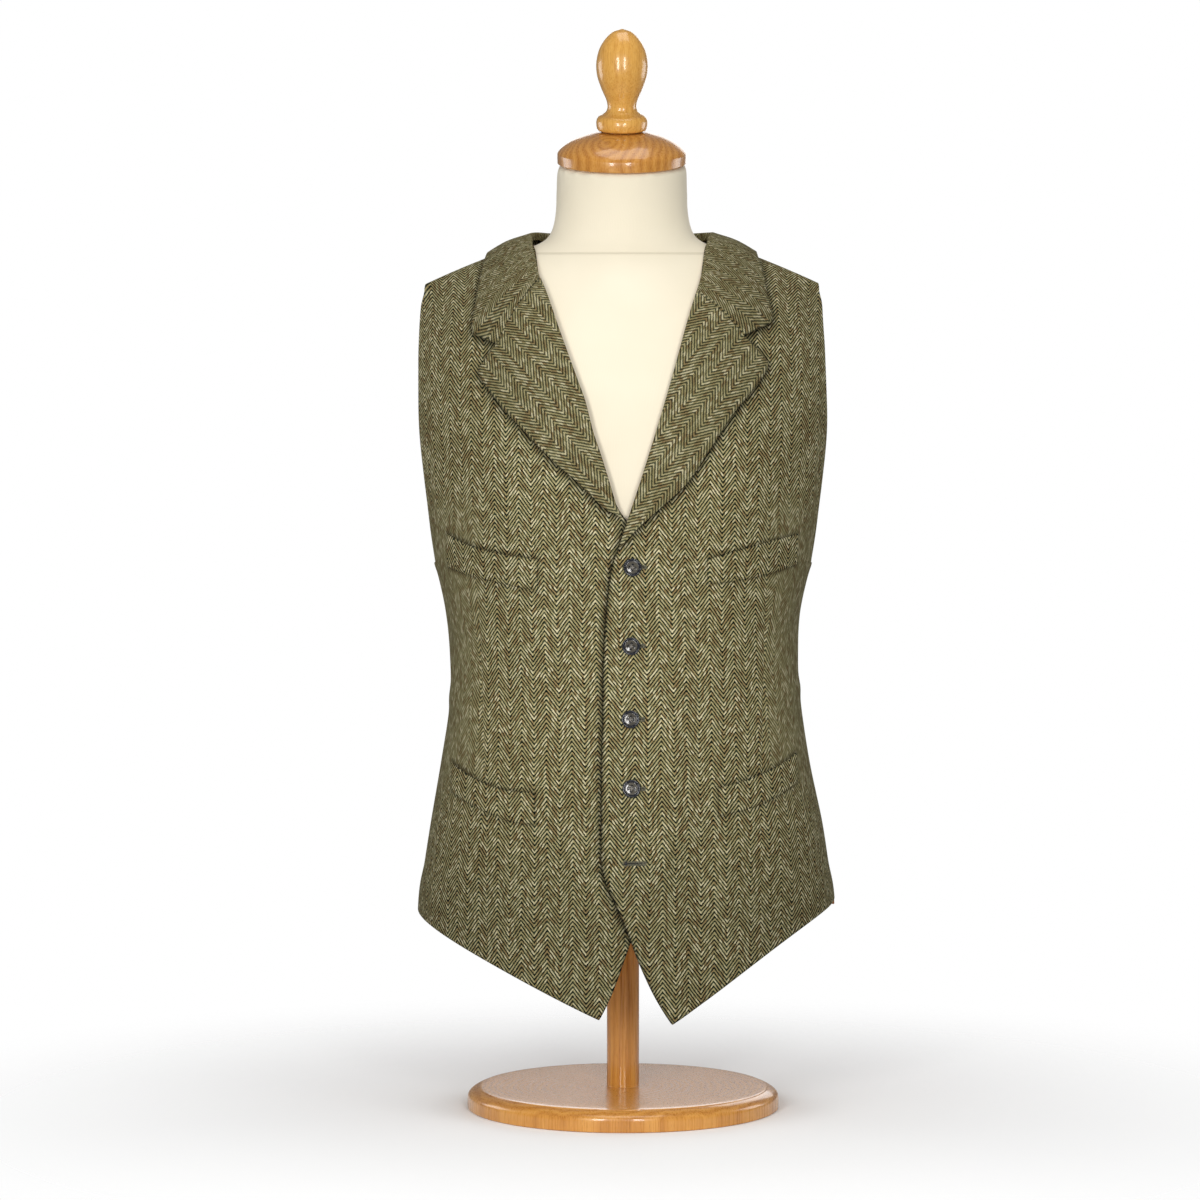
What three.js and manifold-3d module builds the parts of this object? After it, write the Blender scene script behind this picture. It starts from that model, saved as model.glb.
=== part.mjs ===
// A single-breasted waistcoat with notched lapels, buttoned on a limbless dress form.
// Millimetres, +Z up. The origin is the middle of the stand's underside. The front faces -Y and
// +X is the wearer's left, so front_left, pocket and lapel names go by the wearer's own side.

import * as THREE from 'three';
import { mergeVertices } from 'three/addons/utils/BufferGeometryUtils.js';
import Module from 'manifold-3d';

const wasm = await Module();
wasm.setup();

// Cloth walls and the gaps between pieces
const PANEL_WALL = 2.2;
const TRIM_WALL = 1.9;
const TRIM_GAP = 0.8;
const SEAM_GAP = 0.35;
const ROW_STEP = 30;
const LAPEL_ROW_STEP = 22;
const LAPEL_COLUMNS = 6;
const WELT_ROW_STEP = 14;
const WELT_COLUMNS = 2;
const COLLAR_COLUMNS = 5;
const PANEL_COLUMNS = 11;

// Buttons: 24-line horn buttons with a rim, a dished middle and four holes
const BUTTON_RADIUS = 7.5;
const BUTTON_THICKNESS = 3.0;
const BUTTON_DISH_RADIUS = 5.3;
const BUTTON_DISH_DEPTH = 0.9;
const BUTTON_HOLE_RADIUS = 0.8;
const BUTTON_HOLE_OFFSET = 2.3;
const BUTTON_SEGMENTS = 18;

// Dress form, cap and stand
const FORM_BOTTOM = 195;
const FORM_CHEST_GAP = 7;
const FORM_SHOULDER_GAP = 0.8;
const FORM_GAP_NARROWS = { from: 5, to: 2 };
const FORM_ARM_PLATE = 161;
const FORM_RINGS = 17;
const FORM_SIDE_POINTS = 15;
const FORM_RIDGE_CUT = 0.12;
const FORM_BLOCK = { depth: 400, height: 800 };
const NECK_LEAN = THREE.MathUtils.degToRad(17);
const NECK_TOP = new THREE.Vector3(-1, -8, 818);
const NECK_TOP_RADIUS = 56.3;
const CAP_RADIUS = 56;
const POLE_RADIUS = 14;
const BASE_RADIUS = 135;
const BASE_THICKNESS = 18;
const BASE_ROUNDING = 12;

// The outer face of the cloth, level by level from below the hem to the shoulder ridge. front
// and back are depths from the side line, squareness is the power of the superellipse, drop is
// how far the level sinks from the middle to the side, and centre is its shift along X.
const LEVELS = [
  { height: 70, halfWidth: 182, front: 114, back: 106, squareness: 2.35, drop: 0, centre: 3 },
  { height: 175, halfWidth: 181, front: 116, back: 105, squareness: 2.35, drop: 0, centre: 3 },
  { height: 215, halfWidth: 175, front: 116, back: 103, squareness: 2.35, drop: 0, centre: 3 },
  { height: 250, halfWidth: 169.5, front: 113, back: 100, squareness: 2.35, drop: 0, centre: 3 },
  { height: 300, halfWidth: 160, front: 108, back: 94, squareness: 2.35, drop: 0, centre: 2 },
  { height: 350, halfWidth: 152.5, front: 104, back: 89, squareness: 2.3, drop: 0, centre: 2 },
  { height: 385, halfWidth: 151, front: 104, back: 88, squareness: 2.3, drop: 0, centre: 1 },
  { height: 430, halfWidth: 154, front: 108, back: 93, squareness: 2.3, drop: 0, centre: 0 },
  { height: 470, halfWidth: 162.5, front: 113, back: 100, squareness: 2.3, drop: 0, centre: 0 },
  { height: 510, halfWidth: 171, front: 117, back: 106, squareness: 2.35, drop: 0, centre: 0 },
  { height: 565, halfWidth: 179, front: 118, back: 113, squareness: 2.35, drop: 3, centre: 0 },
  { height: 622, halfWidth: 184.5, front: 113, back: 114, squareness: 2.25, drop: 10, centre: 0 },
  { height: 670, halfWidth: 186, front: 102, back: 108, squareness: 2.05, drop: 21, centre: 0 },
  { height: 708, halfWidth: 185, front: 85, back: 96, squareness: 1.8, drop: 33, centre: 0 },
  { height: 736, halfWidth: 183, front: 64, back: 80, squareness: 1.6, drop: 44, centre: 0 },
  { height: 754, halfWidth: 180, front: 42, back: 62, squareness: 1.5, drop: 51, centre: 0 },
  { height: 764, halfWidth: 179, front: 22, back: 40, squareness: 1.5, drop: 55, centre: 0 },
  { height: 768, halfWidth: 178, front: 0, back: 0, squareness: 1.5, drop: 56, centre: 0 },
];
const RIDGE = LEVELS.length - 1;
const DROP_POWER = 1.5;
const BEFORE_RIDGE = 0.35;
const SHOULDER_SEAM = RIDGE + 0.45;
const SHOULDER_SEAM_GAP = 0.01;
const SIDE_SEAM = 0.9997;

// Each row of a front runs from its free edge, at x and height, to its side seam or armhole.
// around is 0 on the middle line and 1 on the side line. bow lifts the middle of the row.
const FRONT_LEFT_ROWS = [
  { x: 40, height: 87.5, around: 1, outer: 184, bow: 15 },
  { x: 22, height: 118, around: 1, outer: 200, bow: 9 },
  { x: 6.6, height: 155, around: 1, outer: 218, bow: 4 },
  { x: -7, height: 188, around: 1, outer: 236, bow: 1 },
  { x: -17, height: 214, around: 1, outer: 252, bow: 0 },
  { x: -18.3, height: 257, around: 1, outer: 284, bow: 0 },
  { x: -17.5, height: 323, around: 1, outer: 335, bow: 0 },
  { x: -16.7, height: 381, around: 1, outer: 385, bow: 0 },
  { x: -14.5, height: 425, around: 1, outer: 428, bow: 0 },
  { x: -10, height: 466, around: 1, outer: 470, bow: 0 },
  { x: -4.5, height: 482, around: 0.95, outer: 472.5, bow: 0 },
  { x: 0.5, height: 500, around: 0.905, outer: 485, bow: 0 },
  { x: 6.3, height: 518, around: 0.855, outer: 513, bow: 0 },
  { x: 15, height: 544, around: 0.836, outer: 545, bow: 0 },
  { x: 25, height: 576, around: 0.82, outer: 582, bow: 0 },
  { x: 34.5, height: 608, around: 0.775, outer: 622, bow: 0 },
  { x: 45, height: 645, around: 0.76, outer: 655, bow: 0 },
  { x: 55, height: 682, around: 0.765, outer: 682, bow: 0 },
  { x: 64, height: 713.5, around: 0.785, outer: 700, bow: 0 },
];
const FRONT_RIGHT_ROWS = [
  { x: -21, height: 91, around: 1, outer: 174, bow: 10 },
  { x: -9.5, height: 115, around: 1, outer: 190, bow: 6 },
  { x: 3, height: 150, around: 1, outer: 212, bow: 3 },
  { x: 18, height: 184, around: 1, outer: 232, bow: 1 },
  { x: 30, height: 214, around: 1, outer: 252, bow: 0 },
  { x: 31.3, height: 257, around: 1, outer: 284, bow: 0 },
  { x: 30.5, height: 323, around: 1, outer: 335, bow: 0 },
  { x: 29.7, height: 381, around: 1, outer: 385, bow: 0 },
  { x: 27.5, height: 425, around: 1, outer: 428, bow: 0 },
  { x: 21, height: 466, around: 1, outer: 470, bow: 0 },
  { x: 14, height: 484, around: 0.95, outer: 472.5, bow: 0 },
  { x: 4, height: 502, around: 0.905, outer: 485, bow: 0 },
  { x: -5.9, height: 518, around: 0.855, outer: 513, bow: 0 },
  { x: -13.5, height: 544, around: 0.836, outer: 545, bow: 0 },
  { x: -24, height: 576, around: 0.825, outer: 582, bow: 0 },
  { x: -32.5, height: 608, around: 0.795, outer: 622, bow: 0 },
  { x: -46, height: 645, around: 0.79, outer: 655, bow: 0 },
  { x: -59, height: 682, around: 0.8, outer: 682, bow: 0 },
  { x: -70, height: 713.5, around: 0.815, outer: 700, bow: 0 },
];
const SHOULDER_TOP = { left: { neckX: 73, around: 0.805 }, right: { neckX: -78, around: 0.83 } };

// Each row of a back runs from the middle seam, then the neckline, to the side seam or armhole.
// inset is the distance from the middle line.
const BACK_ROWS = [
  { inset: 0, height: 164, around: 1, outer: 176 },
  { inset: 0, height: 210, around: 1, outer: 215 },
  { inset: 0, height: 250, around: 1, outer: 252 },
  { inset: 0, height: 300, around: 1, outer: 300 },
  { inset: 0, height: 345, around: 1, outer: 345 },
  { inset: 0, height: 385, around: 1, outer: 385 },
  { inset: 0, height: 430, around: 1, outer: 428 },
  { inset: 0, height: 480, around: 1, outer: 470 },
  { inset: 0, height: 515, around: 0.955, outer: 473 },
  { inset: 0, height: 552, around: 0.91, outer: 487 },
  { inset: 0, height: 592, around: 0.865, outer: 515 },
  { inset: 0, height: 630, around: 0.82, outer: 555 },
  { inset: 0, height: 668, around: 0.785, outer: 600 },
  { inset: 0, height: 706, around: 0.775, outer: 640 },
  { inset: 0, height: 738, around: 0.785, outer: 672 },
  { inset: 30, height: 740, around: 0.795, outer: 690 },
  { inset: 56, height: 745, around: 0.8, outer: 701 },
];

// A lapel row runs from the roll line to the free edge. Past the widest row the free edge turns
// back along the notch, and the last row is the seam that joins the collar.
const LAPEL_LEFT_ROWS = [
  { rollX: -4, rollZ: 485, edgeX: 0, edgeZ: 488 },
  { rollX: 0.7, rollZ: 501, edgeX: 14, edgeZ: 502.5 },
  { rollX: 6.5, rollZ: 518.5, edgeX: 33, edgeZ: 519.5 },
  { rollX: 12, rollZ: 535, edgeX: 52.7, edgeZ: 538 },
  { rollX: 19, rollZ: 557, edgeX: 70, edgeZ: 564 },
  { rollX: 26.5, rollZ: 581, edgeX: 88, edgeZ: 592 },
  { rollX: 34, rollZ: 606, edgeX: 106.4, edgeZ: 615 },
  { rollX: 39.5, rollZ: 625, edgeX: 119.6, edgeZ: 635 },
  { rollX: 45.5, rollZ: 647, edgeX: 114, edgeZ: 645 },
  { rollX: 52, rollZ: 671, edgeX: 107, edgeZ: 653.5 },
  { rollX: 60.5, rollZ: 699, edgeX: 99.2, edgeZ: 660.6 },
];
const LAPEL_RIGHT_ROWS = [
  { rollX: -1.6, rollZ: 509, edgeX: -6.5, edgeZ: 511 },
  { rollX: -6, rollZ: 518.5, edgeX: -17.5, edgeZ: 517.5 },
  { rollX: -11.5, rollZ: 537, edgeX: -36.6, edgeZ: 536.4 },
  { rollX: -18.5, rollZ: 560, edgeX: -60, edgeZ: 557 },
  { rollX: -25.3, rollZ: 580, edgeX: -84.6, edgeZ: 583 },
  { rollX: -31.7, rollZ: 605, edgeX: -104, edgeZ: 605 },
  { rollX: -38.5, rollZ: 624, edgeX: -120, edgeZ: 629 },
  { rollX: -47, rollZ: 648, edgeX: -115.5, edgeZ: 640 },
  { rollX: -56.7, rollZ: 676, edgeX: -111, edgeZ: 647 },
  { rollX: -69.5, rollZ: 712, edgeX: -105, edgeZ: 653.2 },
];

// A collar row on the front runs from the fold to the free edge, both on the cloth. The first is
// the seam to the lapel, the edge then turns along the notch, and foldLift raises the fold. A
// height over the shoulder means its ridge.
const COLLAR_LEFT_ROWS = [
  { foldX: 61, foldZ: 700, foldLift: 0, edgeX: 99.6, edgeZ: 661.3 },
  { foldX: 63, foldZ: 706, foldLift: 0.3, edgeX: 112, edgeZ: 667.5 },
  { foldX: 65, foldZ: 713, foldLift: 0.6, edgeX: 124.4, edgeZ: 676 },
  { foldX: 67.5, foldZ: 724, foldLift: 1, edgeX: 121, edgeZ: 696 },
  { foldX: 70, foldZ: 738, foldLift: 1.6, edgeX: 118.5, edgeZ: 717 },
  { foldX: 72, foldZ: 749, foldLift: 2.6, edgeX: 115, edgeZ: 733 },
  { foldX: 74, foldZ: 770, foldLift: 5, edgeX: 113.5, edgeZ: 770 },
];
const COLLAR_RIGHT_ROWS = [
  { foldX: -70.5, foldZ: 713, foldLift: 0, edgeX: -105.4, edgeZ: 653.9 },
  { foldX: -72, foldZ: 718, foldLift: 0.3, edgeX: -117, edgeZ: 659.5 },
  { foldX: -73.5, foldZ: 724, foldLift: 0.6, edgeX: -126.8, edgeZ: 666.5 },
  { foldX: -75, foldZ: 732, foldLift: 1, edgeX: -124.5, edgeZ: 688 },
  { foldX: -77, foldZ: 741, foldLift: 1.6, edgeX: -121.5, edgeZ: 711 },
  { foldX: -77.5, foldZ: 749, foldLift: 2.6, edgeX: -118, edgeZ: 731 },
  { foldX: -77.5, foldZ: 770, foldLift: 5, edgeX: -115, edgeZ: 770 },
];

// Behind the shoulder the fold stands clear of the cloth and the edge lies on the back. inset is
// the distance from the middle line, and bulge rounds the leaf outwards between the two.
const COLLAR_BACK_ROWS = [
  { inset: 75, foldY: 20, foldZ: 763, footZ: 754, edgeInset: 109.5, edgeZ: 735, bulge: 3.5 },
  { inset: 64, foldY: 48, foldZ: 766, footZ: 750, edgeInset: 91, edgeZ: 726, bulge: 2.5 },
  { inset: 38, foldY: 71, foldZ: 767, footZ: 743, edgeInset: 52, edgeZ: 719.5, bulge: 1.5 },
  { inset: 0, foldY: 79.5, foldZ: 767, footZ: 741, edgeInset: 0, edgeZ: 718, bulge: 1.5 },
];
const STAND_CLEARANCE = 3.2;
const STAND_CENTRE_Y = 12;
const STAND_FOLD_GAP = 1.5;

// Welt pockets: corner heights at each station across the welt
const WELTS = {
  chest_welt_left: [
    { x: 70, top: 474, bottom: 453.5 },
    { x: 96, top: 481.5, bottom: 456.5 },
    { x: 125, top: 490, bottom: 463 },
    { x: 147.5, top: 496, bottom: 470.5 },
  ],
  chest_welt_right: [
    { x: -72, top: 474, bottom: 448 },
    { x: -96, top: 477.5, bottom: 452.5 },
    { x: -124, top: 484, bottom: 459.5 },
    { x: -149.5, top: 496.5, bottom: 468 },
  ],
  lower_welt_left: [
    { x: 79, top: 282.5, bottom: 260 },
    { x: 102, top: 288.5, bottom: 264.5 },
    { x: 126, top: 297.5, bottom: 273 },
    { x: 147, top: 310, bottom: 284.5 },
  ],
  lower_welt_right: [
    { x: -74.5, top: 279, bottom: 252.5 },
    { x: -98, top: 280, bottom: 255.5 },
    { x: -122, top: 287.5, bottom: 264.5 },
    { x: -146, top: 302, bottom: 277 },
  ],
};

// The top four buttons are fastened. The last is hidden under the left front, unfastened.
const BUTTONS = [
  { x: 6.9, height: 467.7 },
  { x: 5.9, height: 401.9 },
  { x: 5.5, height: 340.2 },
  { x: 6.2, height: 282.5 },
  { x: 9.5, height: 221, hidden: true },
];

// How far the left front stands off the body: over the right front, fading out sideways from
// the middle and upwards past the break of the lapels, and more over the hidden button.
const OVERLAP = { lift: 3, fadeX: 64, fadeWidth: 26, fadeTop: 570, fadeHeight: 50 };
const BULGE = { lift: 4.4, radius: 30, plateau: 0.35 };

const NECK_SECTIONS = [
  { height: 690, halfWidth: 98, halfDepth: 56, y: 8 },
  { height: 718, halfWidth: 82, halfDepth: 60, y: 9 },
  { height: 738, halfWidth: 70, halfDepth: 60, y: 11 },
  { height: 752, halfWidth: 63.5, halfDepth: 58.5, y: 10 },
  { height: 772, halfWidth: 59, halfDepth: 56.5, y: 5 },
  { height: 795, halfWidth: 56.8, halfDepth: 56, y: -1 },
];
const NECK_SEGMENTS = 30;

// Distance up the cap's own axis and radius there
const CAP_PROFILE = [
  { along: 0.3, radius: 0 },
  { along: 0.3, radius: CAP_RADIUS - 1.5 },
  { along: 2, radius: CAP_RADIUS },
  { along: 9, radius: CAP_RADIUS },
  { along: 14, radius: CAP_RADIUS - 4 },
  { along: 19.5, radius: 45 },
  { along: 24, radius: 35 },
  { along: 27, radius: 25 },
  { along: 28, radius: 0 },
];
const KNOB_PROFILE = [
  { along: 28.4, radius: 0 },
  { along: 28.4, radius: 18 },
  { along: 31, radius: 21.5 },
  { along: 36, radius: 22.3 },
  { along: 41, radius: 20.5 },
  { along: 44, radius: 16 },
  { along: 49, radius: 12.6 },
  { along: 56, radius: 13.8 },
  { along: 66, radius: 18.2 },
  { along: 77, radius: 21.7 },
  { along: 88, radius: 22.2 },
  { along: 99, radius: 19.6 },
  { along: 108, radius: 14 },
  { along: 114, radius: 7 },
  { along: 116, radius: 0 },
];
const TURNED_SEGMENTS = 26;

function smooth(value) {
  const t = THREE.MathUtils.clamp(value, 0, 1);
  return t * t * (3 - 2 * t);
}

function catmullRom(before, from, to, after, t) {
  const linear = (to - before) * t;
  const square = (2 * before - 5 * from + 4 * to - after) * t * t;
  const cube = (3 * from - before - 3 * to + after) * t * t * t;
  return from + 0.5 * (linear + square + cube);
}

// The levels carry on past the shoulder ridge and down the back, so one index runs over the
// shoulder. depth belongs to the face the index is on, and farDepth to the opposite face.
const FACES = [
  ...LEVELS.map((level) => ({ ...level, depth: -level.front, farDepth: level.back })),
  ...LEVELS.slice(0, -1).reverse().map(
    (level) => ({ ...level, depth: level.back, farDepth: -level.front })),
];

function sectionAt(index) {
  const from = THREE.MathUtils.clamp(Math.floor(index), 0, FACES.length - 2);
  const rows = [from - 1, from, from + 1, from + 2].map(
    (row) => FACES[THREE.MathUtils.clamp(row, 0, FACES.length - 1)]);
  const section = {};
  for (const key of ['height', 'halfWidth', 'depth', 'farDepth', 'squareness', 'drop', 'centre']) {
    section[key] = catmullRom(...rows.map((row) => row[key]), index - from);
  }
  return section;
}

function bodyPoint(index, around, side) {
  const section = sectionAt(index);
  const across = Math.sin(around * Math.PI / 2);
  const reach = Math.min(1, Math.abs(across));
  const power = section.squareness;
  const depth = around > 1 ? section.farDepth : section.depth;
  return new THREE.Vector3(
    section.centre + side * section.halfWidth * across,
    depth * Math.pow(1 - Math.pow(reach, power), 1 / power),
    section.height - section.drop * Math.pow(reach, DROP_POWER),
  );
}

function bodyNormal(index, around, side) {
  const indexStep = 0.02;
  const aroundStep = 0.004;
  const along = bodyPoint(index, around + aroundStep, side)
    .sub(bodyPoint(index, around - aroundStep, side));
  const up = bodyPoint(Math.min(index + indexStep, FACES.length - 1), around, side)
    .sub(bodyPoint(Math.max(index - indexStep, 0), around, side));
  return along.cross(up).multiplyScalar(side).normalize();
}

// The index at which the body reaches a height, where reachAt gives how far round that is.
function indexAtHeight(height, face, reachAt) {
  let low = face === 'front' ? 0 : FACES.length - 1;
  let high = RIDGE;
  for (let step = 0; step < 40; step += 1) {
    const middle = (low + high) / 2;
    const section = sectionAt(middle);
    const reach = THREE.MathUtils.clamp(reachAt(section), 0, 1);
    if (section.height - section.drop * Math.pow(reach, DROP_POWER) < height) {
      low = middle;
    } else {
      high = middle;
    }
  }
  return (low + high) / 2;
}

function placeAtX(x, height, side, face = 'front') {
  const reachAt = (section) => Math.abs(x - section.centre) / section.halfWidth;
  const index = indexAtHeight(height, face, reachAt);
  return { index, around: aroundAtX(index, x, side) };
}

function aroundAtX(index, x, side) {
  const section = sectionAt(index);
  const across = THREE.MathUtils.clamp(side * (x - section.centre) / section.halfWidth, -1, 1);
  return Math.asin(across) * 2 / Math.PI;
}

function placeAround(around, height, face = 'front') {
  const reach = Math.sin(around * Math.PI / 2);
  const index = indexAtHeight(height, face, () => reach);
  return { index, around: Math.min(around, SIDE_SEAM) };
}

function raised(place, side, lift) {
  const point = bodyPoint(place.index, place.around, side);
  return point.addScaledVector(bodyNormal(place.index, place.around, side), lift);
}

function mixPlaces(from, to, t) {
  return {
    index: THREE.MathUtils.lerp(from.index, to.index, t),
    around: THREE.MathUtils.lerp(from.around, to.around, t),
  };
}

// Rows of a table, with more rows between two that lie far apart.
function denseRows(rows, side, step) {
  const dense = [rows[0]];
  for (let row = 1; row < rows.length; row += 1) {
    const from = rows[row - 1];
    const to = rows[row];
    const before = rows[Math.max(row - 2, 0)];
    const after = rows[Math.min(row + 1, rows.length - 1)];
    const spans = ['inner', 'outer'].map((end) => raised(from[end], side, 0)
      .distanceTo(raised(to[end], side, 0)));
    const pieces = Math.max(1, Math.ceil(Math.max(...spans) / step));
    for (let piece = 1; piece <= pieces; piece += 1) {
      const t = piece / pieces;
      const between = (end, key) => THREE.MathUtils.clamp(
        catmullRom(before[end][key], from[end][key], to[end][key], after[end][key], t),
        Math.min(from[end][key], to[end][key]),
        Math.max(from[end][key], to[end][key]),
      );
      dense.push({
        inner: { index: between('inner', 'index'), around: between('inner', 'around') },
        outer: { index: between('outer', 'index'), around: between('outer', 'around') },
        bow: THREE.MathUtils.lerp(from.bow ?? 0, to.bow ?? 0, t),
      });
    }
  }
  return dense;
}

// A closed wall between two grids of points with the same rows and columns.
function wallGeometry(outside, inside) {
  const rows = outside.length;
  const columns = outside[0].length;
  const positions = [...outside.flat(), ...inside.flat()].flatMap((point) => point.toArray());
  const outer = (row, column) => row * columns + column;
  const inner = (row, column) => rows * columns + outer(row, column);
  const triangles = [];
  const quad = (a, b, c, d) => triangles.push(a, b, c, a, c, d);
  for (let row = 0; row < rows - 1; row += 1) {
    for (let column = 0; column < columns - 1; column += 1) {
      quad(outer(row, column), outer(row, column + 1),
        outer(row + 1, column + 1), outer(row + 1, column));
      quad(inner(row, column), inner(row + 1, column),
        inner(row + 1, column + 1), inner(row, column + 1));
    }
    quad(outer(row, 0), outer(row + 1, 0), inner(row + 1, 0), inner(row, 0));
    quad(inner(row, columns - 1), inner(row + 1, columns - 1),
      outer(row + 1, columns - 1), outer(row, columns - 1));
  }
  for (let column = 0; column < columns - 1; column += 1) {
    quad(inner(0, column), inner(0, column + 1), outer(0, column + 1), outer(0, column));
    quad(outer(rows - 1, column), outer(rows - 1, column + 1),
      inner(rows - 1, column + 1), inner(rows - 1, column));
  }
  return facingOut(positions, triangles);
}

function facingOut(positions, triangles) {
  let volume = 0;
  const corner = (index) => new THREE.Vector3().fromArray(positions, 3 * index);
  for (let at = 0; at < triangles.length; at += 3) {
    const [a, b, c] = triangles.slice(at, at + 3).map(corner);
    volume += a.dot(b.cross(c));
  }
  if (volume < 0) {
    triangles.reverse();
  }
  const geometry = new THREE.BufferGeometry();
  geometry.setAttribute('position', new THREE.Float32BufferAttribute(positions, 3));
  geometry.setIndex(triangles);
  geometry.computeVertexNormals();
  return geometry;
}

// A patch of cloth on the body, from rows of inner and outer places.
function patchGeometry(rows, side, columns, liftAt, wall) {
  const outside = [];
  const inside = [];
  for (const row of rows) {
    const places = [];
    for (let column = 0; column <= columns; column += 1) {
      const t = column / columns;
      const place = mixPlaces(row.inner, row.outer, t);
      const bow = (row.bow ?? 0) * 4 * t * (1 - t);
      const levelStep = LEVELS[1].height - LEVELS[0].height;
      place.index += bow / levelStep;
      places.push(place);
    }
    outside.push(places.map((place) => raised(place, side, liftAt(place, side))));
    inside.push(places.map((place) => raised(place, side, liftAt(place, side) - wall)));
  }
  return wallGeometry(outside, inside);
}

// The left front lies over the right one, and higher where it hides the last button.
function overlapLift(place, side) {
  const point = bodyPoint(place.index, place.around, side);
  const hidden = BUTTONS.find((button) => button.hidden);
  const nearMiddle = smooth((OVERLAP.fadeX - point.x) / OVERLAP.fadeWidth);
  const belowBreak = smooth((OVERLAP.fadeTop - point.z) / OVERLAP.fadeHeight);
  const away = Math.hypot(Math.max(0, point.x - hidden.x), point.z - hidden.height);
  const bulge = BULGE.lift * smooth(1 + BULGE.plateau - away / BULGE.radius);
  return (OVERLAP.lift * belowBreak + bulge) * nearMiddle;
}

const flatLift = () => 0;
const trimLift = TRIM_GAP + TRIM_WALL;

function frontGeometry(table, shoulder, side, liftAt) {
  const rows = table.map((row) => ({
    inner: placeAtX(row.x, row.height, side),
    outer: placeAround(row.around, row.outer),
    bow: row.bow,
  }));
  for (const index of [RIDGE - BEFORE_RIDGE, RIDGE, SHOULDER_SEAM]) {
    rows.push({
      inner: { index, around: aroundAtX(index, shoulder.neckX, side) },
      outer: { index, around: shoulder.around },
    });
  }
  return patchGeometry(denseRows(rows, side, ROW_STEP), side, PANEL_COLUMNS, liftAt, PANEL_WALL);
}

function backGeometry(shoulder, side) {
  const rows = BACK_ROWS.map((row) => {
    const index = indexAtHeight(row.height, 'back',
      (section) => row.inset / section.halfWidth);
    const x = sectionAt(index).centre + side * (row.inset + SEAM_GAP / 2);
    return {
      inner: { index, around: aroundAtX(index, x, side) },
      outer: placeAround(row.around, row.outer, 'back'),
    };
  });
  const index = SHOULDER_SEAM + SHOULDER_SEAM_GAP;
  rows.push({
    inner: { index, around: aroundAtX(index, shoulder.neckX, side) },
    outer: { index, around: shoulder.around },
  });
  return patchGeometry(denseRows(rows, side, ROW_STEP), side, PANEL_COLUMNS, flatLift, PANEL_WALL);
}

function lapelGeometry(table, side, liftAt) {
  const rows = table.map((row) => ({
    inner: placeAtX(row.rollX, row.rollZ, side),
    outer: placeAtX(row.edgeX, row.edgeZ, side),
  }));
  const lift = (place) => liftAt(place, side) + trimLift;
  return patchGeometry(denseRows(rows, side, LAPEL_ROW_STEP), side, LAPEL_COLUMNS, lift, TRIM_WALL);
}

function weltGeometry(stations, side) {
  const rows = stations.map((station) => ({
    inner: placeAtX(station.x, station.bottom, side),
    outer: placeAtX(station.x, station.top, side),
  }));
  const dense = denseRows(rows, side, WELT_ROW_STEP);
  return patchGeometry(dense, side, WELT_COLUMNS, () => trimLift, TRIM_WALL);
}

// The collar's leaf is one strip from notch to notch, round the back of the neck.
function collarFrontRow(row, side) {
  const fold = placeAtX(row.foldX, row.foldZ, side);
  const edge = placeAtX(row.edgeX, row.edgeZ, side);
  return Array.from({ length: COLLAR_COLUMNS + 1 }, (unused, column) => {
    const t = column / COLLAR_COLUMNS;
    return raised(mixPlaces(fold, edge, t), side, trimLift + row.foldLift * (1 - t));
  });
}

function collarBackRow(row, side) {
  const place = placeAtX(side * row.edgeInset, row.edgeZ, side, 'back');
  const normal = bodyNormal(place.index, place.around, side);
  const edge = raised(place, side, trimLift);
  const fold = new THREE.Vector3(side * row.inset, row.foldY, row.foldZ);
  return Array.from({ length: COLLAR_COLUMNS + 1 }, (unused, column) => {
    const t = column / COLLAR_COLUMNS;
    return fold.clone().lerp(edge, t).addScaledVector(normal, row.bulge * 4 * t * (1 - t));
  });
}

function gridNormals(points) {
  const last = points.length - 1;
  return points.map((row, at) => row.map((point, column) => {
    const along = points[Math.min(at + 1, last)][column].clone()
      .sub(points[Math.max(at - 1, 0)][column]);
    const across = row[Math.min(column + 1, row.length - 1)].clone()
      .sub(row[Math.max(column - 1, 0)]);
    return across.cross(along).normalize();
  }));
}

function collarGeometry() {
  const outside = subdivideRows([
    ...COLLAR_LEFT_ROWS.map((row) => collarFrontRow(row, 1)),
    ...COLLAR_BACK_ROWS.map((row) => collarBackRow(row, 1)),
    ...COLLAR_BACK_ROWS.slice(0, -1).reverse().map((row) => collarBackRow(row, -1)),
    ...COLLAR_RIGHT_ROWS.map((row) => collarFrontRow(row, -1)).reverse(),
  ]);
  const normals = gridNormals(outside);
  const inside = outside.map((row, at) => row.map(
    (point, column) => point.clone().addScaledVector(normals[at][column], TRIM_WALL)));
  return wallGeometry(outside, inside);
}

// One more row between each two, on a smooth curve through all of them.
function subdivideRows(rows) {
  const dense = [rows[0]];
  for (let row = 1; row < rows.length; row += 1) {
    const near = [row - 2, row - 1, row, row + 1].map(
      (at) => rows[THREE.MathUtils.clamp(at, 0, rows.length - 1)]);
    dense.push(rows[row].map((unused, column) => new THREE.Vector3(
      ...['x', 'y', 'z'].map((axis) => catmullRom(
        ...near.map((points) => points[column][axis]), 0.5)),
    )));
    dense.push(rows[row]);
  }
  return dense;
}

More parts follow.
